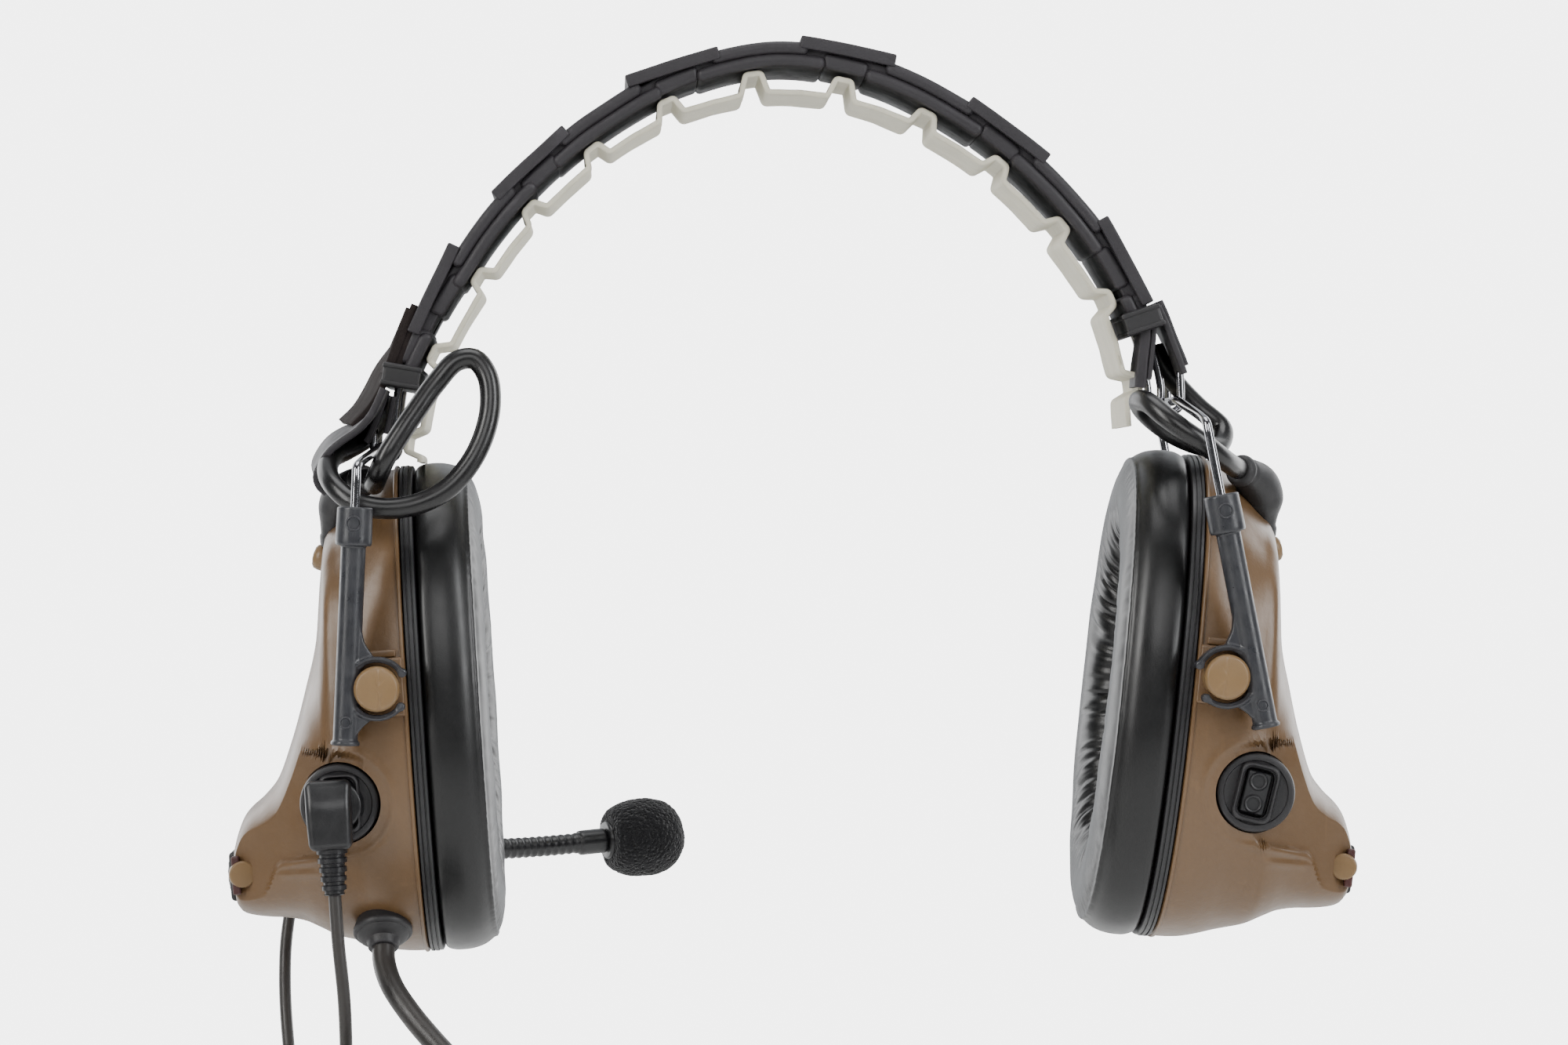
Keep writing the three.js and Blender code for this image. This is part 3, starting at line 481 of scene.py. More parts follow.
def rbox(h, r, n=(2, 2, 2), seg=4):
    """Box of half sizes h with all edges rounded to r, about the origin."""
    h = np.array(h, float)
    r = min(r, h.min() * 0.999)
    lines = []
    for k in range(3):
        inner = h[k] - r
        edge = [inner + r * math.tan(a) for a in np.linspace(0, math.pi / 4, seg + 1)][1:]
        mid = list(np.linspace(-inner, inner, n[k] + 1)) if inner > 1e-9 else [0.0]
        lines.append([-e for e in edge[::-1]] + mid + edge)
    V, F = [], []
    for k in range(3):
        a, b = (k + 1) % 3, (k + 2) % 3
        for s in (-1, 1):
            base = len(V)
            la, lb = lines[a], lines[b]
            for u in la:
                for v in lb:
                    p = np.zeros(3)
                    p[k], p[a], p[b] = s * h[k], u, v
                    q = np.clip(p, -(h - r), h - r)
                    d = p - q
                    V.append(q + unit(d) * r)
            for i in range(len(la) - 1):
                for j in range(len(lb) - 1):
                    f = (base + i * len(lb) + j, base + (i + 1) * len(lb) + j, base + (i + 1) * len(lb) + j + 1, base + i * len(lb) + j + 1)
                    F.append(f if s > 0 else f[::-1])
    return V, F


def moved(vf, fn):
    return [fn(np.array(v, float)) for v in vf[0]], vf[1]


def ribbon(path, normals, half_w, half_t, r=0.45, width_dir=(0, 1, 0), nw=6, seg=3, shift=None):
    """Flat strip of rounded section along a path; normals point out of its face."""
    sec = []
    inner_w, inner_t = half_w - r, max(half_t - r, 0)
    for cx, ct, a0 in ((1, 1, 0), (-1, 1, 90), (-1, -1, 180), (1, -1, 270)):
        for k in range(seg + 1):
            a = rad(a0 + 90 * k / seg)
            sec.append((cx * inner_w + r * cos(a), ct * inner_t + r * sin(a)))
        if ct == cx:  # long faces get points between the corners
            x0 = cx * inner_w
            for k in range(1, nw):
                sec.append((x0 - 2 * x0 * k / nw, ct * (inner_t + r)))
    w = np.array(width_dir, float)
    V, F, m = [], [], len(sec)
    for i, (p, nrm) in enumerate(zip(path, normals)):
        for sw, st in sec:
            q = np.array(p) + w * sw + np.array(nrm) * st
            if shift is not None:
                q = q + np.array(shift(i / (len(path) - 1), sw))
            V.append(q)
    for i in range(len(path) - 1):
        for k in range(m):
            j = (k + 1) % m
            F.append((i * m + k, i * m + j, (i + 1) * m + j, (i + 1) * m + k))
    F.append(tuple(range(m))[::-1])
    F.append(tuple((len(path) - 1) * m + k for k in range(m)))
    return V, F


def strip2d(points, y0, y1, half_t, r=0.4, step=0.8, shift=None):
    """ribbon() along a path given in x and z."""
    P = spline([(p[0], 0, p[1]) for p in points], step)
    T = np.gradient(P, axis=0)
    nrm = [unit((-t[2], 0, t[0])) for t in T]
    mid, half = (y0 + y1) / 2, (y1 - y0) / 2
    P = P + np.array([0, mid, 0])
    return ribbon(P, nrm, half, half_t, r, shift=shift)


def noisy(p, scale, seed=0.0):
    return noise.noise(Vector((p[0] * scale + seed, p[1] * scale - seed, p[2] * scale + 2 * seed)))


def sstep(x, a, b):
    t = min(1, max(0, (x - a) / (b - a)))
    return t * t * (3 - 2 * t)


def pchip(xs, ys):
    xs, ys = np.array(xs, float), np.array(ys, float)
    h, d = np.diff(xs), np.diff(ys) / np.diff(xs)
    m = np.zeros(len(xs))
    m[0], m[-1] = d[0], d[-1]
    for i in range(1, len(xs) - 1):
        if d[i - 1] * d[i] > 0:
            w1, w2 = 2 * h[i] + h[i - 1], h[i] + 2 * h[i - 1]
            m[i] = (w1 + w2) / (w1 / d[i - 1] + w2 / d[i])

    def f(x):
        x = min(max(x, xs[0]), xs[-1])
        i = min(int(np.searchsorted(xs, x, "right")) - 1, len(xs) - 2)
        t = (x - xs[i]) / h[i]
        return ((1 + 2 * t) * (1 - t) ** 2 * ys[i] + t * (1 - t) ** 2 * h[i] * m[i]
                + t * t * (3 - 2 * t) * ys[i + 1] + t * t * (t - 1) * h[i] * m[i + 1])
    return f


# ------------------------------------------------------------------ the frame's numbers
BAND_C = (-2.7, -75.9)
BAND_OUTER = [(14, 87.4), (20, 86.0), (30, 85.2), (45, 84.5), (60, 84.9), (75, 86.5), (90, 87.8), (105, 86.2), (120, 83.9),
              (135, 82.8), (150, 83.2), (162, 85.4), (172, 88.4)]
PAD_UNDER = [(2, 75.6), (12, 75.6), (24, 75.4), (30, 74.7), (45, 74.1), (60, 74.3), (75, 75.2), (90, 75.9), (105, 75.0),
             (120, 73.3), (135, 72.4), (150, 72.8), (162, 74.8), (172, 77.6), (184, 79.6)]
band_r = pchip(*zip(*BAND_OUTER))
pad_r = pchip(*zip(*PAD_UNDER))
SIDE = {
    "left": dict(s=-1, hinge=(-90.7, -77.7), top=(-95.1, -82.0), lean=2.4, pin=(-90.8, -129.8), tilt=-3.7, org=(-84.232, -135.288)),
    "right": dict(s=1, hinge=(83.0, -67.5), top=(87.2, -72.4), lean=11.0, pin=(91.5, -127.4), tilt=6.1, org=(84.708, -132.608)),
}
PIN_U, PIN_W, PIN_R = 6.2, 5.9, 4.9
YOKE_Y, CROSSBAR, LEG = 47.3, 26, 49
SOCKET, BATTERY, BOOM = (16.2, -18.5), (28.5, -31.0), (13, -30)
SHELL = [(0, 43.0, -54.0, 53.5), (3, 42.9, -53.9, 52.6), (6, 42.6, -53.6, 50.8), (10, 42.0, -52.6, 47.4), (14, 41.0, -51.2, 43.2),
         (17, 40.0, -50.2, 39.6), (18.2, 39.3, -49.8, 33.0), (20, 38.2, -49.0, 18.5), (23, 35.8, -47.2, 7.5), (27, 32.4, -45.2, -4.5),
         (31, 29.4, -44.3, -13.5), (34, 27.6, -44.0, -16.8), (38.5, 25.0, -43.2, -20.8), (40.2, 23.4, -42.4, -24.4), (41, 22.0, -41.2, -27.0)]
SH = [pchip([r[0] for r in SHELL], [r[k] for r in SHELL]) for k in (1, 2, 3)]


def polar(a, r, y=0.0):
    return np.array([BAND_C[0] + r * cos(rad(a)), y, BAND_C[1] + r * sin(rad(a))])


def in_cup(side):
    """Maps cup coordinates (u out of the shell's rim, y, w up) to the row frame."""
    d = SIDE[side]
    c, s = cos(rad(d["tilt"])), sin(rad(d["tilt"]))

    def f(p):
        x = d["s"] * p[0]
        return np.array([d["org"][0] + x * c + p[2] * s, p[1], d["org"][1] - x * s + p[2] * c])
    return f


def in_slider(side):
    d = SIDE[side]
    q = -d["s"] * rad(d["lean"])

    def f(p):
        x = d["s"] * p[0]
        return np.array([d["pin"][0] + x * cos(q) + p[2] * sin(q), p[1], d["pin"][1] - x * sin(q) + p[2] * cos(q)])
    return f


def oval(u, half, low, high, n, p=0.85, grow=0.0):
    out, mid = [], (low + high) / 2
    for i in range(n):
        a = 2 * math.pi * i / n
        c, d = cos(a), sin(a)
        out.append((u, math.copysign(abs(c) ** p, c) * (half + grow), mid + math.copysign(abs(d) ** p, d) * ((high - low) / 2 + grow)))
    return out


def skin(rings, cap0=True, cap1=True, loop=False):
    n, V, F = len(rings[0]), [], []
    for r in rings:
        V += r
    m = len(rings)
    for k in range(m if loop else m - 1):
        q = (k + 1) % m
        for i in range(n):
            j = (i + 1) % n
            F.append((k * n + i, k * n + j, q * n + j, q * n + i))
    if not loop:
        if cap0:
            F.append(tuple(range(n))[::-1])
        if cap1:
            F.append(tuple((m - 1) * n + i for i in range(n)))
    return V, F


def put(o, body, *replaces, slot=None):
    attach(o, body)
    if replaces:
        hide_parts(*replaces)
    return o


# ------------------------------------------------------------------ cords first
def cord_route(points, step=1.5):
    return spline(points, step)


C = in_cup("left")
# microphone cable: from the plug's relief under the cup, forward and up to the boom clevis
su, sw = SOCKET
mic_pts = [C((su + 2.0, -44.6, sw - 15.5)), C((su + 2.0, -44.6, sw - 19.7)), (-99.2, -44.9, -184.1), (-98.0, -44.7, -195.9),
           (-97.6, -43.0, -206.6), (-97.9, -38.4, -219.5), (-99.4, -29, -232), (-101.8, -15, -241), (-104.6, 1, -244.4),
           (-108.4, 17, -240), (-112, 29.6, -229.4), (-114.6, 38, -215), (-115.8, 42.8, -200), (-115.4, 45.4, -188.5),
           (-113.4, 46.4, -178.6), (-109.6, 45.0, -171.6), C((BOOM[0] + 9.9, 42.6, BOOM[1] - 2.5)), C((BOOM[0] + 6.3, 42.6, BOOM[1] - 2.5))]
mic_path = cord_route(mic_pts)
mic = piece("microphone_cable_jacket", *sweep(mic_path, 1.4, 16), "lead")
put(mic, "cup_left", "microphone_cable", slot="cable_jacket")


def length_of(P):
    return float(np.linalg.norm(np.diff(P, axis=0), axis=1).sum()) * 0.001


def metres(P):
    return [tuple(float(c) * 0.001 for c in p) for p in P]


def thinned(P):
    """Every other point of a route, keeping its end, with no point twice."""
    Q = [p for p in P[:-1:2]]
    if np.linalg.norm(Q[-1] - P[-1]) < 1.0:
        Q.pop()
    return metres(Q + [P[-1]])


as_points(thinned(mic_path))

# radio lead: gland, down behind the cup, three turns and a bit in the coil, then its plug
n_g = np.array([0, -0.552, -0.834])
g0 = C((9.3, -24.6 + n_g[1] * 3.0, -46.4 + n_g[2] * 3.0))
g1 = C((9.3, -24.6 + n_g[1] * 5.9, -46.4 + n_g[2] * 5.9))
g2 = C((9.3, -24.6 + n_g[1] * 8.9, -46.4 + n_g[2] * 8.9))
CC, CR = (-86.2, -60.0, -243.4), 28.0
OFF = [(2.62, 2.62), (-2.62, 2.62), (-2.62, -2.62), (2.62, -2.62)]


def coil_point(turned):
    """turned: degrees wound on from where the lead joins."""
    k = turned / 360.0
    i = min(int(k), 3)
    lo = (262, 161, 60)[min(i, 2)]  # an inner turn has moved over before the next one takes its place
    t = sstep((k - i) * 360, lo, lo + 66)
    a, b = OFF[i], OFF[min(i + 1, 3)]
    dr, dy = a[0] + (b[0] - a[0]) * t, a[1] + (b[1] - a[1]) * t
    q = rad(36 - turned)
    return (CC[0] + (CR + dr) * cos(q), CC[1] + dy, CC[2] + (CR + dr) * sin(q))


lead_pts = [g0, g1, g2, (-88.2, -33.6, -194.4), (-84.0, -37.6, -200.2), (-79.4, -41.8, -205.2), (-74.4, -46.4, -210.2),
            (-68.4, -51.6, -217.2), (-63.9, -55.6, -222.6)]
TURNS = 360 * 3 + 12
coil_pts = [coil_point(t) for t in range(10, TURNS + 1, 12)]
PX, PY = -94.5, -73.8
tail_pts = [(-56.0, -64.2, -238.5), (-55.7, -66.6, -245.0), (-57.8, -69.0, -250.4), (-62.8, -71.2, -252.7), (-67.8, -72.6, -250.4),
            (-69.9, -73.4, -245.2), (-69.8, PY, -237.4), (-69.6, PY, -229.8)]
tail_pts += [(-82 + 12.5 * cos(rad(d)), PY, -221.5 + 12.5 * sin(rad(d))) for d in range(5, 181, 25)]
tail_pts += [(PX, PY, -223.5), (PX, PY, -227.0), (PX, PY, -229.5)]
lead_path = cord_route(lead_pts + coil_pts + tail_pts, 1.6)
lead = piece("radio_lead", *sweep(lead_path, 2.5, 18), "lead")
put(lead, "cup_left", "downlead", "downlead_coil", "downlead_tail", slot="cable_jacket")

# radio plug: ribbed grip, then the metal contact with its rings
prof = [(0, 0.6), (2.9, 0.6), (3.4, 0.9)]
for k in range(4):  # relief ribs
    z = 1.4 + k * 2.1
    prof += [(3.5 + 0.18 * k, z), (3.7 + 0.18 * k, z + 0.35), (3.7 + 0.18 * k, z + 1.25), (3.0 + 0.18 * k, z + 1.45), (3.0 + 0.18 * k, z + 1.95)]
prof += fillet([(3.9, 9.9), (4.3, 10.2), (7.2, 12.4), (7.2, 33.0), (6.0, 35.0), (3.2, 35.0)], 0.8, 5)
prof += [(0, 35.0)]


def grip(q, r, h):
    if 15.0 < h < 31.5 and r > 7:
        return r - 0.28 * (0.5 + 0.5 * cos(q * 18)) ** 3
    return r


dense = []
for a, b in zip(prof[:-1], prof[1:]):
    k = max(1, int(abs(b[1] - a[1]) / 1.2))
    dense += [(a[0] + (b[0] - a[0]) * i / k, a[1] + (b[1] - a[1]) * i / k) for i in range(k)]
dense.append(prof[-1])
plug_at, down = (PX, PY, -226.3), (0, 0, -1)
plug = piece("radio_plug_grip", *lathe(dense, plug_at, down, 108, grip), "plastic", 50)
put(plug, "cup_left", "radio_plug", slot="black_plastic")
con, ins = [(0, 34.8)], []
z = 34.8
con_prof = [(3.5, 34.8), (3.5, 43.8), (3.25, 44.0), (3.25, 45.2), (3.5, 45.4), (3.5, 50.4), (3.25, 50.6), (3.25, 51.8), (3.5, 52.0),
            (3.5, 56.6), (3.25, 56.8), (3.25, 58.0), (3.5, 58.2), (3.52, 60.0), (3.1, 61.2), (2.45, 61.9), (2.45, 62.6), (2.9, 63.2), (2.7, 64.6),
            (1.6, 65.8), (0, 66.0)]
contact = piece("radio_plug_contact", *lathe([(0, 34.8)] + con_prof, plug_at, down, 48), "nickel", 30)
put(contact, "cup_left", slot="steel")
bands = []
for a in (44.05, 50.65, 56.85):
    bands.append(lathe([(0, a), (3.47, a), (3.47, a + 1.1), (0, a + 1.1)], plug_at, down, 40))
insul = join("radio_plug_insulators", bands, "plastic", 30)
put(insul, "cup_left", slot="black_plastic")
# tie round the bundle
t0 = rad(188)
tc_ = np.array([CC[0] + CR * cos(t0), CC[1], CC[2] + CR * sin(t0)])
er, et = np.array([cos(t0), 0, sin(t0)]), np.array([-sin(t0), 0, cos(t0)])
loop = fillet([(-5.95, -5.95), (5.95, -5.95), (5.95, 5.95), (-5.95, 5.95)], 2.4, 6, closed=True)
loop = [np.array([a, b]) for a, b in [tuple(p) for p in loop]]
tie_path = [tc_ + er * p[0] + np.array([0, 1, 0]) * p[1] for p in loop]
tie_nrm = [unit(er * p[0] + np.array([0, 1, 0]) * p[1]) for p in loop]
tie_path.append(tie_path[0] + er * 0.01)
tie_nrm.append(tie_nrm[0])
tie = join("coil_strap", [ribbon(tie_path, tie_nrm, 2.3, 0.55, 0.3, width_dir=tuple(et)),
                          moved(rbox((1.9, 2.9, 2.6), 0.7), lambda v: tc_ + er * (7.6 + v[0]) + np.array([0, 1, 0]) * v[1] + et * v[2])], "rubber")
put(tie, "cup_left", "coil_tie", slot="soft_rubber")
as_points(metres(lead_path))
print("cord lengths", length_of(mic_path), length_of(lead_path))

# ------------------------------------------------------------------ headband cover
RE = 180 / math.pi


def on_band(a_mid, straight=0.0, tilt=0.0, lift=0.0):
    """Maps a block (x along, y across, z out from the cover's outer face) onto the band."""
    r0 = band_r(a_mid)

    def f(v):
        a = a_mid - v[0] / r0 * RE
        curved = polar(a, band_r(a) + v[2])
        t = polar(a_mid, r0)
        n = unit((cos(rad(a_mid)), 0, sin(rad(a_mid))))
        x = np.array([n[2], 0, -n[0]])
        flat = t + x * v[0] + n * (v[2] + lift + tilt * v[0])
        p = curved * (1 - straight) + flat * straight
        p[1] = v[1]
        return p
    return f


def block(a_mid, length, y, z0, z1, r, straight=0.0, tilt=0.0, lift=0.0, nx=12, ny=8, sag=0.0, seed=0.0):
    vf = rbox((length / 2, y, (z1 - z0) / 2), r, (nx, ny, 1), 4)
    f = on_band(a_mid, straight, tilt, lift)

    def g(v):
        w = v + np.array([0, 0, (z0 + z1) / 2])
        w[2] += 0.10 * noisy((w[0], w[1], a_mid), 0.11, seed) - sag * (1 - abs(v[1]) / y) ** 0.5 * (1 if v[2] > 0 else 0)
        w[1] += 0.16 * noisy((w[0], 3.0 * math.copysign(1, w[1]), a_mid), 0.16, seed + 5)
        return f(w)
    return moved(vf, g)


B_AT = [156.8, 132.6, 106.7, 80.6, 54.0, 27.6]
B_TILT = [0.0, 0.004, -0.004, -0.020, -0.006, 0.0]
parts = []
for a, t in zip(B_AT, B_TILT):  # raised plates
    parts.append(block(a, 21.4, 19.6, -2.0, 0.75, 0.42, straight=0.75, tilt=t, lift=0.25, nx=14, ny=10, seed=a))
mids = [(a + b) / 2 for a, b in zip(B_AT[:-1], B_AT[1:])]
for a in mids:  # rounded tubes between the plates
    parts.append(block(a, 22.0, 19.3, -3.05, -0.15, 1.38, nx=16, ny=10, sag=0.25, seed=a + 1))
    parts.append(block(a, 30.2, 19.1, -5.8, -2.95, 1.38, nx=20, ny=10, seed=a + 2))
for a in B_AT:  # necks under the plates
    parts.append(block(a, 10.5, 18.4, -5.35, -1.9, 1.2, nx=8, ny=8, seed=a + 3))
for a, ln in ((165.9, 9.0), (20.9, 5.0)):  # ends of the cover inside the keepers
    parts.append(block(a, ln, 18.2, -5.2, -0.6, 1.3, nx=8, ny=8, seed=a + 4))
    parts.append(block(a + (1.2 if a > 90 else -0.4), ln + 2.2, 18.9, -5.6, -2.6, 1.3, nx=8, ny=8, seed=a + 6))
# sheet through the middle of the band that the tubes and plates are moulded on
A = np.linspace(168.2, 19.4, 150)
path = [polar(a, band_r(a) - 2.9) for a in A]
nrm = [np.array([cos(rad(a)), 0, sin(rad(a))]) for a in A]
parts.append(ribbon(path, nrm, 17.4, 1.6, 0.6, nw=10))
cover = join("headband_sleeve", parts, "cover", 38)
put(cover, "headband", "headband_cover", slot="cover_rubber")

# crossover cable inside the band and the two spring wires
a_line = np.linspace(171.5, 16.5, 60)
inner = piece("band_cable", *sweep([polar(a, band_r(a) - 2.9) for a in a_line], 1.9, 12), "cable")
put(inner, "headband", "crossover_cable_band", slot="cable_jacket")
for name, y in (("rear", -14.0), ("front", 14.0)):
    def hook(side):
        d, r = SIDE[side], 2.25
        s, h = d["s"], d["hinge"]
        out = [(h[0] + s * (r - 0.2), y, h[1] + 6.4)]
        out += [(h[0] + s * r * cos(rad(a)), y, h[1] - r * sin(rad(a))) for a in range(0, 181, 22)]
        out.append((h[0] - s * r, y, h[1] + 3.5))
        return out
    pts = hook("left") + [tuple(polar(a, band_r(a) - 2.9, y)) for a in np.linspace(171.5, 16.5, 40)] + hook("right")[::-1]
    w = piece("spring_wire_" + name, *sweep(spline(pts, 0.9), 0.9, 14), "steel")
    put(w, "headband", "bow_wire_" + name, slot="steel")

# keepers: moulded rings that clamp the cover's ends
for side, a in (("left", 170.7), ("right", 18.4)):
    f = on_band(a, 1.0)
    ring = [moved(rbox((2.6, 20.9, 4.1), 0.75, (3, 14, 4)), lambda v: f(v + np.array([0, 0, -2.9])))]
    for e in (-1, 1):  # raised lips
        ring.append(moved(rbox((0.55, 21.1, 4.35), 0.4, (1, 10, 3)), lambda v: f(v + np.array([e * 1.9, 0, -2.9]))))
    o = join("keeper_block_" + side, ring, "rubber")
    put(o, "headband", "keeper_" + side, slot="soft_rubber")

# ------------------------------------------------------------------ comfort pad
pitch, first = 14.3, 9.0


def pad_rise(a):
    room = band_r(a) - 5.8 - 0.35 - 1.3 - pad_r(a)
    return max(1.4, min(room, 4.4)) if 20 < a < 165 else 3.2


def pad_line():
    out = [(2.2, 0.0)]
    last = None
    for k in range(13):
        a = first + k * pitch
        h = pad_rise(a)
        if last is not None:
            out.append(((last + a) / 2, 0.0))
        out += [(a - 2.25, 0.0), (a - 1.2, h), (a + 1.2, h)]
        if a + 2.25 < 184:
            out.append((a + 2.25, 0.0))
        last = a
    out.append((183.6, 0.0))
    return out


line = pad_line()
pts = [polar(a, pad_r(a) + 0.65 + h) for a, h in line]
rs = [0.7 if (abs(h) > 0.1 or i % 5 in (1, 4, 0)) else 6.0 for i, (a, h) in enumerate(line)]
pts = [np.array(p) for p in fillet(pts, rs, 5)]
fine = []
for a, b in zip(pts[:-1], pts[1:]):
    k = max(1, int(np.linalg.norm(b - a) / 1.0))
    fine += [a + (b - a) * i / k for i in range(k)]
fine.append(pts[-1])
fine = np.array([p for i, p in enumerate(fine) if i == 0 or np.linalg.norm(p - fine[i - 1]) > 1e-3])
T = np.gradient(fine, axis=0)
T /= np.linalg.norm(T, axis=1)[:, None]
nrm = np.array([unit((t[2], 0, -t[0])) for t in T])  # out of the head
if np.dot(nrm[len(nrm) // 2], (0, 0, 1)) < 0:
    nrm = -nrm
ang = np.array([math.degrees(math.atan2(p[2] - BAND_C[1], p[0] - BAND_C[0])) % 360 for p in fine])


def pad_part(lo, hi):
    idx = [i for i in range(len(fine)) if lo <= (ang[i] if ang[i] < 300 else ang[i] - 360) <= hi]
    i0, i1 = max(idx[0] - 1, 0), min(idx[-1] + 1, len(fine) - 1)
    P, Nn = fine[i0:i1 + 1], nrm[i0:i1 + 1]

    def shift(t, sw):
        p = P[min(int(t * (len(P) - 1)), len(P) - 1)]
        k = 0.22 * noisy((p[0], sw, p[2]), 0.06) + 0.12 * noisy((p[0], sw, p[2]), 0.22, 3)
        return (p - np.array([BAND_C[0], 0, BAND_C[1]])) / 76.0 * k
    return ribbon(P, Nn, 17.0, 0.62, 0.4, nw=12, shift=shift)


pad = piece("comfort_pad_sheet", *pad_part(13.2, 169.8), "pad", 42)
put(pad, "headband", "comfort_pad", slot="pad_sheet")
for side, lo, hi in (("left", 169.4, 184.5), ("right", 1.5, 13.4)):
    o = piece("comfort_pad_tongue_" + side, *pad_part(lo, hi), "pad", 42)
    s_, e_ = (polar(170.5, 78), polar(183, 80)) if side == "left" else (polar(12.5, 76), polar(2.5, 76))
    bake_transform(o)

# ------------------------------------------------------------------ cover ends: leaves and straps
def strap(points, y0, y1, t, r=0.4, spread=(0, 0), curl=0.0):
    """Strip through points in x and z; spread moves its front edge, curl bends it across."""
    P = spline([(p[0], 0, p[1]) for p in points], 0.9)
    n = len(P)
    mid, half = (y0 + y1) / 2, (y1 - y0) / 2
    Tt = np.gradient(P, axis=0)
    nn = [unit((-v[2], 0, v[0])) for v in Tt]

    def shift(k, sw):
        e = (sw + half) / (2 * half)
        i = min(int(k * (n - 1)), n - 1)
        ripple = 0.25 * noisy((P[i][0], sw, P[i][2]), 0.12, 2)
        return np.array([spread[0], 0, spread[1]]) * e * sstep(k, 0, 0.6) + np.array(nn[i]) * (ripple - curl * (1 - (sw / half) ** 2))
    return ribbon(P + np.array([0, mid, 0]), nn, half, t / 2, r, nw=12, shift=shift)


# left: broad outer leaf, a strap that wraps the cable, two short tongues
# the broad left leaf uses the darker copy of the cover rubber, painted shade
leaf = join("cover_flap_left", [
    strap([(-83.8, -46.4), (-86.0, -52.0), (-88.2, -58.4), (-90.6, -64.2), (-93.9, -69.6), (-97.3, -73.2)], -18.5, 17.5, 1.5, spread=(-4.4, 1.8), curl=0.4),
    strap([(-83.9, -47.6), (-85.9, -52.8), (-87.8, -58.0), (-89.2, -62.0)], -18.2, -8.5, 3.6, r=0.8, spread=(-0.8, 0.3), curl=0.1),
], "leaf")
put(leaf, "headband", "cover_leaf_left", slot="cover_rubber")
wrap = join("cable_strap_left", [
    strap([(-90.2, -65.0), (-92.4, -70.0), (-95.6, -74.0), (-99.0, -76.6), (-102.0, -79.0), (-104.0, -81.8), (-104.9, -84.4), (-104.2, -86.6), (-102.6, -88.0)],
          -29.5, -8.0, 1.6, spread=(-1.4, 3.0), curl=-0.3),
], "cover")
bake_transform(wrap)
wrap = join("cover_tongues_left", [
    strap([(-89.9, -66.0), (-91.6, -70.6), (-93.2, -74.2), (-94.4, -76.6)], -19.0, -5.5, 1.5, spread=(1.4, 0.6), curl=0.3),
    strap([(-88.2, -66.6), (-88.9, -70.4), (-90.0, -74.8)], -19.6, -7.0, 1.3, spread=(1.0, 0), curl=0.3),
], "cover")
put(wrap, "headband", slot="cover_rubber")
# right: flap outside, thin strap, upright strip at the inside
leaf = join("cover_flap_right", [
    strap([(80.0, -45.4), (82.0, -49.8), (84.2, -55.2), (85.9, -59.6)], -18.0, 17.5, 1.5, spread=(1.2, 0.8), curl=0.5),
    strap([(79.8, -46.6), (81.8, -51.2), (83.8, -56.2), (85.6, -61.4)], -18.8, -6.0, 1.4, curl=0.2),
    strap([(76.6, -48.2), (76.8, -53.0), (76.2, -59.0), (75.8, -64.4)], -19.0, -6.4, 2.6, r=0.6, curl=0.1),
    strap([(78.6, -48.2), (78.7, -53.0), (78.2, -58.2), (77.7, -62.6)], -18.6, -6.4, 1.2, r=0.4, curl=0.1),
], "cover")
put(leaf, "headband", "cover_leaf_right", slot="cover_rubber")

# ------------------------------------------------------------------ stirrup wires
for side in ("left", "right"):
    d = SIDE[side]
    s, hinge, top = d["s"], d["hinge"], d["top"]
    dn = (s * sin(rad(d["lean"])), -cos(rad(d["lean"])))
    mix = lambda t, y: (top[0] + (hinge[0] - top[0]) * t, y, top[1] + (hinge[1] - top[1]) * t)
    half = [(top[0] + dn[0] * k, -YOKE_Y, top[1] + dn[1] * k) for k in (LEG, 36, 24, 12, 5, 2)]
    half += [(top[0] + dn[0] * 0.3, -YOKE_Y + 0.5, top[1] + dn[1] * 0.3), mix(0.16, -44.6), mix(0.72, -33.5), mix(0.95, -28.5),
             (hinge[0], -CROSSBAR, hinge[1]), (hinge[0], -18, hinge[1]), (hinge[0], -10, hinge[1])]
    pts = half + [(p[0], -p[1], p[2]) for p in half[::-1]]
    o = piece("stirrup_rod_" + side, *sweep(spline(pts, 0.8), 1.0, 20), "steel")
    put(o, "stirrup_" + side, "stirrup_wire_" + side, slot="steel")

# ------------------------------------------------------------------ crossover cable loops
LOOP = {
    "left": [(-89.6, -1.2, -68.3), (-91.8, -4.4, -71.6), (-94.9, -10.4, -75.6), (-98.6, -17.4, -78.2), (-101.6, -25, -80.2),
             (-102.2, -31, -83.0), (-100.6, -36.2, -86.2), (-96.2, -39.4, -89.8), (-89.8, -40.2, -91.2), (-83.0, -40.2, -90.4),
             (-76.6, -39.8, -87.4), (-71.8, -38.8, -82.4), (-68.4, -37.4, -76), (-66.8, -36, -68.6), (-67.6, -34.8, -62.2),
             (-70.4, -34, -58.8), (-74.2, -34, -59.3), (-78.6, -35, -64), (-82.8, -36.8, -70), (-86.6, -38.4, -75.8),
             (-89.4, -39.0, -80.4), (-91.0, -37.2, -83.8), (-92.0, -32.8, -85.8), (-92.4, -28.4, -85.6)],
    "right": [(80.6, -1.0, -55.2), (82.6, -2.4, -59.6), (85.8, -4.4, -64.0), (90.0, -6.6, -68.6), (95.0, -8.8, -73.4),
              (93.8, -13.0, -77.0), (89.4, -17.6, -77.2), (84.2, -19.6, -75.4), (79.6, -20.8, -72.6), (76.0, -23.4, -69.6),
              (74.6, -28.4, -67.6), (76.2, -33.6, -68.2), (79.2, -37.0, -71.0), (83.0, -38.6, -74.0), (87.4, -38.6, -77.0),
              (91.2, -35.6, -79.6), (94.2, -30.6, -81.4)],
}
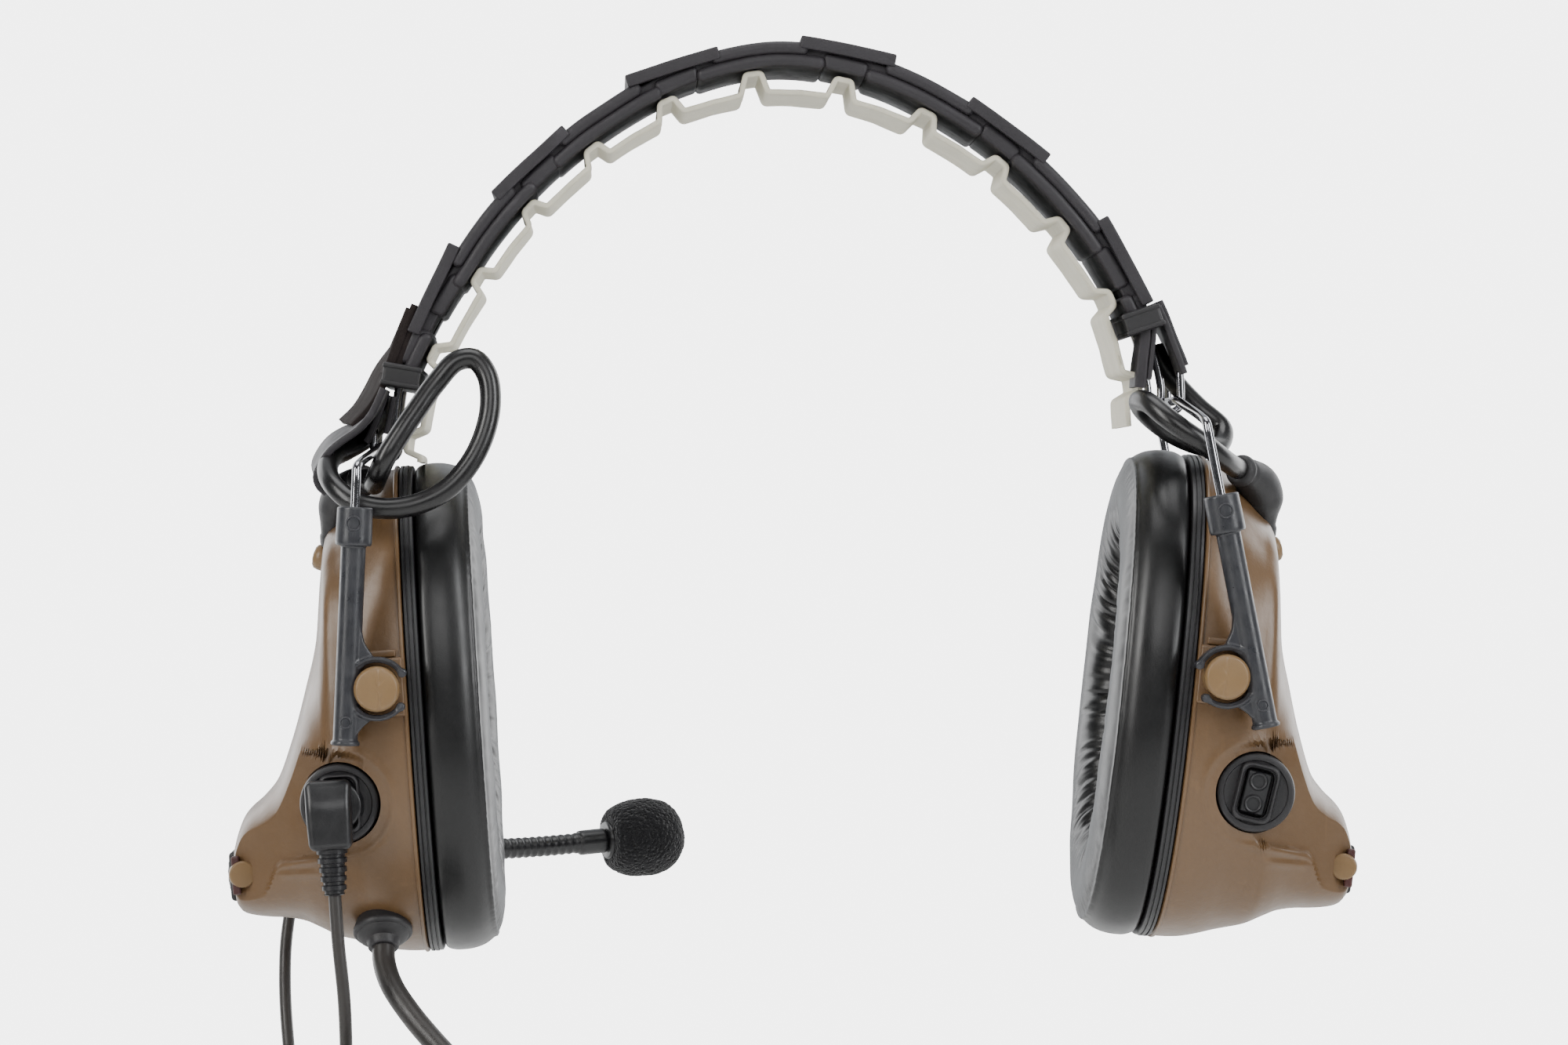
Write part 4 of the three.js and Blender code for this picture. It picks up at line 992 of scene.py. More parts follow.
JOIN = {
    "left": [((-98.6, -17.4, -78.2), "headband", "stirrup_left", (-92, -3, -75), (-92, -16.5, -75)),
             ((-83.0, -40.2, -90.4), "stirrup_left", "slider_left", (-98.8, -18.5, -78.6), (-84.5, -39.8, -90.0)),
             ((-71.8, -38.8, -82.4), "slider_left", "cup_left", (-82, -40, -90), (-73, -39, -83))],
    "right": [((93.8, -13.0, -77.0), "headband", "stirrup_right", (88, -8, -57.0), (88, -8, -75.5)),
              ((74.6, -28.4, -67.6), "stirrup_right", "slider_right", (92.5, -15, -76.0), (76, -27, -68.5)),
              ((87.4, -38.6, -77.0), "slider_right", "cup_right", (75.2, -30, -68.0), (86.5, -38.0, -76.5))],
}
for side in ("left", "right"):
    cup_pt = in_cup(side)
    pts = LOOP[side] + [tuple(cup_pt((7.0, -23.4, 51.1))), tuple(cup_pt((8.8, -20.8, 50.6)))]
    P = spline(pts, 0.9)
    Tn, An, Bn = frames_of(P)
    ends = [int(np.argmin(np.linalg.norm(P - np.array(j[0]), axis=1))) for j in JOIN[side]]
    cuts = [0] + ends + [len(P) - 1]
    for k in range(4):
        a, b = cuts[k], cuts[k + 1]
        lo, hi = max(a - (3 if k else 0), 0), min(b + (3 if k < 3 else 0), len(P) - 1)
        V, F = [], []
        sides_ = 28
        for i in range(lo, hi + 1):
            R = 2.3 - (0.0, 0.006, 0.03, 0.12)[max(a - i if k else 0, i - b if k < 3 else 0, 0)]
            for q in range(sides_):
                t = 2 * math.pi * q / sides_
                V.append(P[i] + An[i] * R * cos(t) + Bn[i] * R * sin(t))
        m = hi - lo + 1
        for i in range(m - 1):
            for q in range(sides_):
                w = (q + 1) % sides_
                F.append((i * sides_ + q, i * sides_ + w, (i + 1) * sides_ + w, (i + 1) * sides_ + q))
        F.append(tuple(range(sides_))[::-1])
        F.append(tuple((m - 1) * sides_ + q for q in range(sides_)))
        o = piece(f"crossover_cable_{side}_{k + 1}", V, F, "cable", 60)
        if k < 3:
            _, ba, bb, s_, e_ = JOIN[side][k]
            tuple(c * 0.001 for c in s_)
            tuple(c * 0.001 for c in e_)
            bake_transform(o)
        else:
            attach(o, "cup_" + side)
        if k == 0:
            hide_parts("crossover_loop_" + side)

# ------------------------------------------------------------------ sliders
for side in ("left", "right"):
    d, f = SIDE[side], in_slider(side)
    for end, e in (("rear", -1), ("front", 1)):
        y0 = e * YOKE_Y
        ax = 6.3

        def up(r, a, b, n=40):
            return lathe([(0, a), (r, a), (r, b), (0, b)], (ax, y0, 0), (0, 0, 1), n)

        def plate(poly, t, grow=0.0):
            P = [np.array(p, float) for p in poly]
            n = len(P)
            V = [(p[0], y0 - t, p[1]) for p in P] + [(p[0], y0 + t, p[1]) for p in P]
            F = [tuple(range(n))[::-1], tuple(range(n, 2 * n))] + [(i, (i + 1) % n, (i + 1) % n + n, i + n) for i in range(n)]
            return V, F
        arc = []
        for q in np.linspace(34, 326, 60):
            arc.append((-6.9 * cos(rad(q)), 6.9 * sin(rad(q))))
        back = [(-5.65 * cos(rad(q)), 5.65 * sin(rad(q))) for q in np.linspace(326, 34, 60)]
        ringp = arc + back
        lip = [(-6.9 * cos(rad(q)), 6.9 * sin(rad(q))) for q in np.linspace(34, 326, 60)] + \
              [(-6.35 * cos(rad(q)), 6.35 * sin(rad(q))) for q in np.linspace(326, 34, 60)]
        web_up = fillet([(8.2, 17.5), (4.2, 16.5), (3.9, 13.0), (3.1, 9.6), (0.8, 6.6), (6.0, 2.0), (8.2, 4.0)], 1.0, 3, closed=True)
        web_dn = fillet([(8.2, -4.0), (6.0, -2.0), (0.8, -6.6), (2.6, -8.2), (3.9, -10.0), (4.4, -11.2), (8.2, -11.2)], 0.6, 3, closed=True)
        tips = []
        for q in (35, 325):
            c0 = (-6.35 * cos(rad(q)), 6.35 * sin(rad(q)))
            tips.append(lathe([(0, y0 - 1.95), (0.98, y0 - 1.95), (0.98, y0 + 1.95), (0, y0 + 1.95)], (c0[0], 0, c0[1]), (0, 1, 0), 24))
        o = join("slider_body", [
            up(2.68, -11.8, 31.0), lathe(fillet([(0, 30.4), (3.85, 30.4), (3.95, 31.2), (3.8, 38.7), (0, 38.7)], 0.25, 3), (ax, y0, 0), (0, 0, 1), 48),
            up(3.12, -12.4, -11.5), plate(ringp, 1.75), plate(lip, 2.1), plate([tuple(p) for p in web_up], 1.55), plate([tuple(p) for p in web_dn], 1.55)] + tips, "slider")
        fuse(o, 0.26, 2, 0.5, 50)
        bore = join("bore", [lathe([(0, -4), (1.3, -4), (1.3, 45), (0, 45)], (ax, y0, 0), (0, 0, 1), 24)], "slider")
        cut(o, bore)
        extra = []
        # moulded rings: one near the top of the collar, one near the tube's foot
        for zc, rr, surf in ((35.2, 1.5, 3.88), (-7.4, 1.15, 2.68)):
            V, F, n, m = [], [], 32, 8
            for i in range(n):
                t = 2 * math.pi * i / n
                for j in range(m):
                    b = 2 * math.pi * j / m
                    px = (rr + 0.2 * cos(b)) * cos(t)
                    pz = (rr + 0.2 * cos(b)) * sin(t)
                    yy = math.sqrt(max(surf ** 2 - px ** 2, 0.1))
                    V.append((ax + px, y0 + e * (yy + 0.02 + 0.2 * sin(b)), zc + pz))
            for i in range(n):
                for j in range(m):
                    F.append((i * m + j, i * m + (j + 1) % m, ((i + 1) % n) * m + (j + 1) % m, ((i + 1) % n) * m + j))
            extra.append((V, F))
        v = [tuple(c * 1000 for c in x.co) for x in o.data.vertices]
        fc = [tuple(x.vertices) for x in o.data.polygons]
        bpy.data.objects.remove(o)
        parts = [moved((v, fc), f)] + [moved(x, f) for x in extra]
        o = join(f"slider_arm_{end}_{side}", parts, "slider", 50)
        put(o, "slider_" + side, f"slider_{end}_{side}", slot="slider_plastic")

# ------------------------------------------------------------------ ear cups
def shell_ring(u, n, grow=0.0):
    return oval(u, SH[0](u), SH[1](u), SH[2](u), n, p=0.85 - 0.21 * sstep(u, 11, 24), grow=grow)


RA, RB = (16.2, -18.5, 10.9), (40.0, -18.3, 13.6)


def capsule(u, w, a, b):
    """Signed distance to a capsule whose radius runs from a[2] to b[2]."""
    ax, az, bx, bz = a[0], a[1], b[0], b[1]
    L2 = (bx - ax) ** 2 + (bz - az) ** 2
    t = min(1, max(0, ((u - ax) * (bx - ax) + (w - az) * (bz - az)) / L2))
    return math.hypot(u - ax - t * (bx - ax), w - az - t * (bz - az)) - (a[2] + (b[2] - a[2]) * t)


def shell_shape(p, rear=True):
    """Moulded relief: a dished channel from the socket to the outer end, a second lip below it."""
    u, y, w = p
    h = SH[0](u)
    side = abs(y) / max(h, 1)
    k = sstep(side, 0.40, 0.74)
    if k > 0 and u > 0.3:
        d = capsule(u, w, RA, RB) - 9 * sstep(u, 30, 36) * sstep(-w, 22, 29)
        deep = sstep(-d, -0.2, 0.75)
        # flat floor of the channel; the shell's own round shoulder stays where it lies lower
        flat = 37.7 - 0.66 * (u - 16.2) + 0.5 * sstep(-u, -13, -5)
        if y > 0:
            flat += 0.7
        low = max(abs(y) - flat, 0)
        y -= math.copysign(low * deep, y)
        # rolled step above the channel, beaded lip and a shallow groove under it
        lift = 0.30 * math.exp(-((d - 0.75) / 0.7) ** 2) * (1 - sstep(u, 26, 30))
        lift += 0.35 * math.exp(-((d - 0.8) / 0.65) ** 2) * sstep(-w, 24, 28) * sstep(u, 13, 18) * (1 - sstep(u, 29, 33))
        lift -= 0.55 * math.exp(-((w + 33.6) / 0.95) ** 2) * sstep(u, 17, 22) * (1 - sstep(u, 28, 32))
        y += math.copysign(lift * k, y)
    # soft flute beside the upright ridge
    if w > -10 and 4 < u < 30:
        top = SH[2](u)
        b = (top - w) / 9.0
        y -= math.copysign(0.5 * math.exp(-((b - 1.0) / 0.35) ** 2) * sstep(side, 0.3, 0.7) * sstep(w, -3, 8), y)
    n = 0.10 * noisy(p, 0.05, 4)
    return np.array([u, y * (1 + n * 0.01), w])


for side in ("left", "right"):
    f, body = in_cup(side), "cup_" + side
    n = 560
    outer = [shell_ring(u, n) for u in np.concatenate([np.arange(0, 40.2, 0.5), [40.2, 40.6]])]
    outer += [shell_ring(41, n, g) for g in (0.0, -0.6, -6)]
    outer[0] = [(0.0, p[1], p[2]) for p in shell_ring(0, n, -0.35)]
    outer[1] = [(0.35, p[1], p[2]) for p in shell_ring(0.35, n)]
    inner = [shell_ring(min(u, 36.6), n, -2.3 - 3.4 * sstep(u, 2, 10)) for u in (0, 0.6, 4, 8, 12, 15, 17.5, 20, 23, 27, 31, 34, 36.6)]
    rings = [shell_ring(36.6, n, -12)] + inner[::-1] + outer
    m0 = len(inner) + 1
    V, F = skin(rings)
    V = [shell_shape(p) if i >= m0 * n else np.array(p, float) for i, p in enumerate(V)]
    o = piece("shell_work", V, F, "shell", 38)
    tool = [lathe([(0, -50), (8.95, -50), (8.95, -33), (0, -33)], (su, 0, sw), (0, 1, 0), 72),
            lathe([(0, 23.5), (6.3, 23.5), (6.3, 29.4), (8.35, 31.3), (8.35, 40), (0, 40)], (BATTERY[0], 0, BATTERY[1]), (0, 1, 0), 64)]
    bx = rbox((3.4, 16.6, 5.9), 1.4, (1, 2, 2), 4)
    tool.append(moved(bx, lambda p: p + np.array([41.75, 0, -34.1])))
    cut(o, join("tools", tool, "shell"))
    parts = [o]
    # square seats under the pivot pins
    for e in (-1, 1):
        bx = rbox((5.9, 1.65, 6.35), 0.55, (4, 1, 4), 3)
        parts.append(moved(bx, lambda p: p + np.array([6.5, e * 42.05, 5.95])))
        bx = rbox((4.6, 1.2, 0.8), 0.4, (2, 1, 1), 3)
        parts.append(moved(bx, lambda p: p + np.array([6.5, e * 42.0, 13.2])))
    parts.append(lathe([(6.3, 24.2), (8.0, 24.2), (8.0, 30.8), (7.75, 31.2), (6.6, 31.2), (6.3, 30.9), (6.3, 24.2)], (BATTERY[0], 0, BATTERY[1]), (0, 1, 0), 64))
    # rim bead next to the ear seal
    bead = []
    for q in np.linspace(0, 2 * math.pi, 9)[:-1]:
        bead.append([(0.55 + 0.42 * cos(q), p[1], p[2]) for p in oval(0.5, 43.0, -54.0, 53.5, 240, grow=0.12 + 0.28 * sin(q))])
    parts.append(skin(bead, loop=True))
    flat = []
    for x in parts:
        if isinstance(x, bpy.types.Object):
            flat.append(([tuple(c * 1000 for c in v.co) for v in x.data.vertices], [tuple(q.vertices) for q in x.data.polygons]))
            bpy.data.objects.remove(x)
        else:
            flat.append(x)
    o = join("cup_shell_" + side, [moved(x, f) for x in flat], "shell", 38)
    put(o, body, "shell_" + side, slot="shell_plastic")

    # battery door's gasket and lift tab at the outer end
    tab = lathe(fillet([(0, -1.0), (2.9, -1.0), (2.9, 1.0), (0, 1.0)], 0.45, 3), (39.2, -23.6, -33.2), (0.25, 1, 0), 40)
    put(join("lift_tab_" + side, [moved(tab, f)], "pin"), body, slot="shell_plastic")
    g1 = moved(rbox((0.9, 1.6, 4.2), 0.45, (1, 1, 2), 3), lambda p: p + np.array([40.5, -22.6, -33.4]))
    put(join("end_gasket_" + side, [moved(g1, f)], "red"), body, slot="soft_rubber")

    # ring that carries the ear seal
    sec = [(-0.30, -1.0), (-0.30, 0.0), (-0.38, 0.22), (-0.95, 0.30), (-1.05, -0.10), (-1.22, -0.12), (-1.30, 0.26), (-2.05, 0.30), (-2.15, -0.05),
           (-2.32, -0.08), (-2.40, 0.16), (-2.95, 0.10), (-3.12, -0.2)]
    rings = [oval(u, 43.0, -54.0, 53.5, 240, grow=g) for u, g in sec]
    for t, u in ((0.25, -3.12), (0.6, -3.12), (0.95, -3.1), (1.0, -2.9), (1.0, -0.5), (0.9, -0.3)):
        a, b = oval(u, 42.8, -53.8, 53.3, 240), oval(u, 15, -15, 15, 240)
        rings.append([tuple(np.array(p) * (1 - t) + np.array(q) * t) for p, q in zip(a, b)])
    o = join("seal_ring_" + side, [moved(skin(rings, loop=True), f)], "ring", 35)
    put(o, body, "baffle_plate_" + side, slot="black_plastic")

    # ear cushion
    prof = [(0.30, -3.35), (0.10, -3.4), (0.02, -3.9), (-0.012, -5.4), (-0.02, -7.4), (-0.012, -9.8), (0.02, -12.2), (0.07, -13.9), (0.115, -14.85),
            (0.17, -15.55), (0.28, -16.5), (0.42, -17.1), (0.58, -17.1), (0.72, -16.5), (0.86, -15.2), (0.96, -13.2), (1.02, -10.4),
            (1.03, -7.2), (1.0, -4.6), (0.94, -3.5), (0.7, -3.35)]
    S = spline([(a * 24, b, 0) for a, b in prof], 0.42)
    na = 420
    rings, seed = [], 3.1 if side == "left" else 8.7
    for a_, b_, _ in S:
        t, u = a_ / 24, b_
        A_, B_ = oval(u, 43.0, -54.0, 53.5, na), oval(u, 21.5, -32.5, 32.5, na, p=0.9)
        ring_ = []
        for i, (p, q) in enumerate(zip(A_, B_)):
            ang = 2 * math.pi * i / na
            P_ = np.array(p) * (1 - t) + np.array(q) * t
            out_dir = unit(np.array([0, p[1] - q[1], p[2] - q[2]]))
            wave_ = 0.40 * noisy((cos(ang) * 2.0, sin(ang) * 2.0, u * 0.02), 1.0, seed) + 0.04 * noisy((cos(ang) * 6, sin(ang) * 6, u * 0.06), 1.0, seed + 2)
            side_w = 1 - sstep(t, 0.05, 0.3)
            P_ = P_ + out_dir * wave_ * side_w * sstep(-u, 3.6, 6)
            # raised seam at the face's edge with its stitches drawn in
            seam = math.exp(-((math.hypot((t - 0.115) * 24, u + 14.85)) / 0.55) ** 2)
            P_ = P_ + unit(np.array([-0.75, 0, 0]) + out_dir * 0.65) * 0.42 * seam * (1 + 0.10 * math.sin(ang * 150))
            # puckers that run in from the seam and out of the inner opening
            pk = noisy((cos(ang) * 9, sin(ang) * 9, t * 0.8), 1.0, seed + 5)
            pk2 = noisy((cos(ang) * 15, sin(ang) * 15, t * 1.0), 1.0, seed + 9)
            near_in = sstep(t, 0.45, 0.9) * sstep(-u, 4, 9)
            near_seam = math.exp(-((t - 0.20) / 0.09) ** 2) * sstep(-u, 13, 15)
            fold = lambda v: 1 - math.exp(-(v / 0.16) ** 2)
            crease = 0.75 * fold(pk) * near_in + 0.35 * fold(pk2) * near_in + 0.16 * fold(pk2) * near_seam
            face = 0.35 * noisy((cos(ang) * 3.1, sin(ang) * 3.1, t * 2), 1.0, seed + 12) * sstep(t, 0.15, 0.4)
            nrm_ = unit(np.array([-(1 - abs(t - 0.55) * 1.2), 0, 0]) - out_dir * (t - 0.45) * 1.1)
            P_ = P_ + nrm_ * (crease - 0.6 * near_in + face)
            ring_.append(tuple(P_))
        rings.append(ring_)
    o = join("ear_cushion_cover_" + side, [moved(skin(rings, loop=True), f)], "vinyl", 75)
    put(o, body, "ear_cushion_" + side, slot="cushion_vinyl")

    # foam over the speaker
    rings = []
    for k in range(26):
        t = k / 25
        e = math.sin(t * math.pi / 2)
        u = -3.4 - 3.0 * math.cos(t * math.pi / 2) ** 0.8 if t < 1 else -3.4
        hw = (2.0 + 17.5 * e, 3.0 + 26.5 * e)
        rings.append([tuple(np.array(p) + np.array([0.22 * noisy(p, 0.9, 5) + 0.25 * noisy(p, 0.25, 6), 0, 0])) for p in oval(u, hw[0], -hw[1], hw[1], 200, p=0.9)])
    o = join("speaker_foam_disc_" + side, [moved(skin(rings), f)], "foam", 75)
    put(o, body, "speaker_foam_" + side, slot="foam")

    # pivot pins with a fine parting line
    for end, e in (("rear", -1), ("front", 1)):
        pr = fillet([(0, 43.6), (4.9, 43.6), (4.9, 49.9), (4.35, 50.7), (0, 50.8)], 0.3, 3)
        V, F = lathe([(0, 43.6), (2, 43.6)] + [tuple(p) for p in pr[1:-1]] + [(3.6, 50.78), (2.4, 50.82), (1.2, 50.85), (0, 50.85)], (0, 0, 0), (0, 1, 0), 128)
        V = [np.array(p) for p in V]
        V = [p + np.array([0, -0.16 * math.exp(-((p[0] + 0.4) / 0.22) ** 2), 0]) if p[1] > 50.2 else p for p in V]
        V = [p + np.array([0, 0.08 * math.exp(-((p[0] + 0.9) / 0.3) ** 2), 0]) if p[1] > 50.2 else p for p in V]
        V = [f((p[0] + PIN_U, e * p[1], p[2] + PIN_W)) for p in V]
        put(piece(f"pivot_button_{end}_{side}", V, F, "pin", 38), body, f"pivot_pin_{end}_{side}", slot="pin_plastic")

    # rubber seal in the socket hole
    prof = [(0, -33.6), (8.6, -33.6), (8.6, -38.6), (8.35, -39.35), (7.9, -39.6), (7.1, -39.5), (6.9, -39.15), (6.6, -39.1), (3, -39.1), (0, -39.1)]
    o = piece("seal_work", *lathe(prof, (su, 0, sw), (0, 1, 0), 96), "rubber", 40)
    lip_pts = []
    tl = rad(8 if side == "right" else 0)

    def on_seal(a, b, y):
        return np.array([su + a * cos(tl) + b * sin(tl), y, sw - a * sin(tl) + b * cos(tl)])
    box2 = fillet([(-3.9, -5.9), (3.9, -5.9), (3.9, 5.9), (-3.9, 5.9)], 2.4, 6, closed=True)
    cutter_V = [on_seal(p[0] * 0.86, p[1] * 0.9, -45) for p in box2] + [on_seal(p[0] * 0.86, p[1] * 0.9, -36.7) for p in box2]
    k = len(box2)
    cutter_F = [tuple(range(k)), tuple(range(k, 2 * k))[::-1]] + [(i + k, (i + 1) % k + k, (i + 1) % k, i) for i in range(k)]
    cut(o, join("oval", [(cutter_V, cutter_F)], "rubber"))
    sec = [(-0.5, -38.8), (-0.45, -39.9), (-0.25, -40.35), (0.0, -40.5), (0.3, -40.45), (0.62, -40.1), (0.8, -39.6), (0.9, -38.8)]
    rings = []
    for g, y in sec:
        rings.append([tuple(on_seal(p[0] * (1 + g / 5), p[1] * (1 + g / 7.5), y)) for p in box2])
    V = [tuple(c * 1000 for c in v.co) for v in o.data.vertices]
    F = [tuple(q.vertices) for q in o.data.polygons]
    bpy.data.objects.remove(o)
    o = join("socket_seal_ring_" + side, [moved((V, F), f), moved(skin(rings, True, True, False), f) if False else moved(skin(rings, loop=True), f)], "rubber", 40)
    put(o, body, "socket_seal_" + side, slot="soft_rubber")

    # cable boot on top
    path = spline([(7.2, -23.2, 51.0), (10.2, -18.6, 49.9), (13.0, -13.6, 47.2), (14.2, -10.6, 42.0), (14.4, -9.5, 37.8)], 0.35)
    ll = np.concatenate([[0], np.cumsum(np.linalg.norm(np.diff(path, axis=0), axis=1))])
    tt = ll / ll[-1]
    big = 4.9 if side == "right" else 4.2
    rr = [3.25 + 0.35 * math.exp(-((x - 0.03) / 0.03) ** 2) - 0.22 * math.exp(-((x - 0.10) / 0.02) ** 2) + (big - 3.25) * sstep(x, 0.06, 0.50)
          + 0.25 * math.exp(-((x - 0.62) / 0.12) ** 2) - (big - 3.6) * sstep(x, 0.62, 0.90) + 0.3 * sstep(x, 0.90, 0.93) for x in tt]
    boot = sweep(path, rr, 40, 0.3)
    put(join("cable_elbow_" + side, [moved(boot, f)], "rubber", 55), body, "cable_boot_" + side, slot="soft_rubber")

    # sound port bump
    dm = unit((0.95, 0, 0.3))
    pr = [(0, -3.0), (3.4, -3.0), (3.4, -1.0), (3.2, -0.4), (2.95, -0.1), (2.9, 1.6), (2.6, 2.6), (1.9, 3.1), (1.75, 2.9), (1.6, 2.9), (1.45, 3.15), (0.8, 3.3), (0, 3.34)]
    put(join("outside_mic_port_" + side, [moved(lathe(pr, (17.0, -7.5, 34.2), dm, 48), f)], "pin", 45), body, "outside_microphone_" + side, slot="shell_plastic")

    # crowned press pads in the outer end
    for end, e in (("rear", -1), ("front", 1)):
        hb = (1.35, 7.7, 5.4)
        V, F = rbox(hb, 0.9, (1, 14, 10), 4)
        V2 = []
        for p in V:
            p = np.array(p)
            crown = 0.55 * (1 - (p[1] / hb[1]) ** 2) * (1 - (p[2] / hb[2]) ** 2)
            if p[0] > 0.3:
                p[0] += crown
                dd = math.hypot(p[1] - e * 0.6, p[2])
                p[0] += 0.28 * math.exp(-((dd - 2.6) / 0.45) ** 2)
            V2.append(f((p[0] + 41.05, p[1] + e * 8.2, p[2] - 34.1)))
        put(piece(f"press_pad_{end}_{side}", V2, F, "rubber", 55), f"button_{end}_{side}", f"button_{end}_{side}", slot="soft_rubber")

    # battery cap: knurled edge and a coin slot
    def knurl(q, r, h):
        return r * (1 - 0.022 * (0.5 + 0.5 * math.cos(q * 36)) ** 2) if r > 7.5 and 32.2 < h < 34.0 else r
    pr = [(0, 25.0), (5.9, 25.0), (5.9, 31.9), (7.8, 31.9), (8.0, 32.25), (8.0, 33.9), (7.7, 34.3), (6.6, 34.4), (6.45, 34.2), (6.2, 34.2), (6.05, 34.4), (3, 34.42), (0, 34.42)]
    o = piece("cap_work", *lathe(pr, (BATTERY[0], 0, BATTERY[1]), (0, 1, 0), 216, wave=knurl), "pin", 32)
    bx = moved(rbox((5.1, 1.0, 0.85), 0.3, (2, 1, 1), 2), lambda p: p + np.array([BATTERY[0], 34.5, BATTERY[1]]))
    cut(o, join("slot", [bx], "pin"))
    V = [f(tuple(c * 1000 for c in v.co)) for v in o.data.vertices]
    F = [tuple(q.vertices) for q in o.data.polygons]
    bpy.data.objects.remove(o)
    put(piece("battery_screw_cap_" + side, V, F, "pin", 32), "battery_cap_" + side, "battery_cap_" + side, slot="shell_plastic")

# socket block on the right, microphone plug on the left
f = in_cup("right")
tl = rad(8)
bl = rbox((2.75, 2.9, 4.7), 0.6, (2, 2, 4), 3)
o = piece("block_work", [p + np.array([0, -36.4, 0]) for p in bl[0]], bl[1], "rubber", 40)
cut(o, join("holes", [lathe([(0, -42), (1.4, -42), (1.4, -33.9), (0, -33.9)], (0, 0, e * 2.5), (0, 1, 0), 32) for e in (-1, 1)], "rubber"))
V = [np.array([c * 1000 for c in v.co]) for v in o.data.vertices]
F = [tuple(q.vertices) for q in o.data.polygons]
bpy.data.objects.remove(o)
ringlets = []
for e in (-1, 1):
    ringlets.append(lathe([(1.4, -39.2), (1.45, -39.6), (1.7, -39.72), (2.0, -39.5), (2.1, -39.2), (2.1, -38.9), (1.4, -38.9), (1.4, -39.2)], (0, 0, e * 2.5), (0, 1, 0), 40))
turn = lambda p: f((su + p[0] * cos(tl) + p[2] * sin(tl), p[1], sw - p[0] * sin(tl) + p[2] * cos(tl)))
put(join("socket_insert_right", [moved((V, F), turn)] + [moved(x, turn) for x in ringlets], "ring", 40), "cup_right", "socket_block_right", slot="black_plastic")
# dark caps at the bottom of the two socket holes: contacts, in the darkest black so the holes read darker, partly
# painted shade
contact_shade_caps = [lathe([(0, -34.35), (0.55, -34.4), (0.6, -35.0), (0.95, -35.1), (1.36, -34.6), (1.36, -34.0), (0, -34.0)], (0, 0, e * 2.5), (0, 1, 0), 28) for e in (-1, 1)]
put(join("socket_contacts_and_hole_shade_right", [moved(x, turn) for x in contact_shade_caps], "vinyl", 40), "cup_right", slot="black_plastic")

f = in_cup("left")
hp = (4.85, 4.55, 7.4)
V, F = rbox(hp, 1.5, (8, 6, 10), 5)
V2 = []
for p in V:
    p = np.array(p)
    k = sstep(p[2], 1.5, 7.4)
    if p[1] < 0:
        p[1] += 1.9 * k * (-p[1] / hp[1])
    p[0] *= 1 - 0.05 * sstep(-p[2], 0, 7)
    p[1] -= 0.35 * math.exp(-(p[0] / 3.2) ** 2) * (1 - abs(p[2]) / 9) if p[1] < -3 else 0
    V2.append(p + np.array([18.25, -44.65, -20.5]))
plug = piece("plug_work", V2, F, "plastic", 45)
relief = []
prf = [(0, 0.5), (3.5, 0.4)]
for k in range(5):
    h = -0.6 - k * 1.95
    r = 3.35 - 0.17 * k
    prf += [(r, h), (r, h - 0.95), (r - 0.55, h - 1.15), (r - 0.55, h - 1.75)]
prf += [(2.35, -10.3), (1.9, -10.5), (0, -10.5)]
relief = lathe(prf, (18.2, -44.6, -27.2), (0, 0, 1), 40)
neck = lathe(fillet([(0, -36.9), (6.0, -36.9), (6.2, -38.5), (5.2, -40.6), (0, -40.6)], 0.5, 3), (su + 0.6, 0, sw - 0.4), (0, 1, 0), 64)
V = [np.array([c * 1000 for c in v.co]) for v in plug.data.vertices]
F = [tuple(q.vertices) for q in plug.data.polygons]
bpy.data.objects.remove(plug)
o = join("boom_cable_plug", [moved((V, F), f), moved(relief, f), moved(neck, f)], "plastic", 40)
put(o, "cup_left", "microphone_plug", slot="black_plastic")

# gland of the radio lead
dg = unit((0, -0.552, -0.834))
pr = [(0, -5), (4.6, -5), (6.2, 0.4), (6.45, 0.9), (6.45, 1.7), (6.1, 2.1), (5.7, 2.15), (5.3, 2.9), (4.5, 3.5), (3.7, 3.75), (3.4, 4.4), (3.35, 5.3), (3.1, 5.6), (2.6, 5.6), (0, 5.5)]
put(join("lead_gland", [moved(lathe(pr, (9.3, -24.6, -46.4), dg, 64), f)], "rubber", 45), "cup_left", "downlead_gland", slot="soft_rubber")

# boom mount, arm, microphone and foam windscreen
bx = moved(rbox((6.2, 3.85, 6.5), 1.2, (3, 2, 3), 4), lambda p: p + np.array([13, 41.35, -30]))
parts = [bx]
for e in (-1, 1):
    ear = fillet([(44.6, -34.4), (50.6, -34.4), (53.4, -31.6), (53.4, -28.4), (50.6, -25.6), (44.6, -25.6)], 1.2, 4, closed=True)
    a, b = 13 + e * 3.2, 13 + e * 6.0
    lo, hi = min(a, b), max(a, b)
    rings = []
    for u, g in ((lo, 0.35), (lo + 0.3, 0.0), (hi - 0.3, 0.0), (hi, 0.35)):
        rings.append([(u, 49 + (q[0] - 49) * (1 - g / 4.4), -30 + (q[1] + 30) * (1 - g / 4.4)) for q in ear])
    parts.append(skin(rings))
    parts.append(lathe([(0, 0), (2.3, 0), (2.3, 0.35), (2.0, 0.6), (1.3, 0.6), (1.2, 0.3), (0, 0.3)], (13 + e * 6.0, 49.9, -30), (e, 0, 0), 32))
put(join("boom_mount", [moved(x, f) for x in parts], "plastic", 40), "cup_left", "boom_clevis", slot="black_plastic")
eye = lathe(fillet([(0, -2.85), (4.2, -2.85), (4.2, 2.85), (0, 2.85)], 0.4, 3), (13, 49.9, -30), (1, 0, 0), 48)
B = spline([(13, 51.5, -30), (13, 58, -30.8), (12, 66, -33), (6, 75, -35.5), (-7, 85, -37.5), (-23, 95, -38.5), (-39, 102, -38.5)], 0.22)
L = np.concatenate([[0], np.cumsum(np.linalg.norm(np.diff(B, axis=0), axis=1))])
rr = []
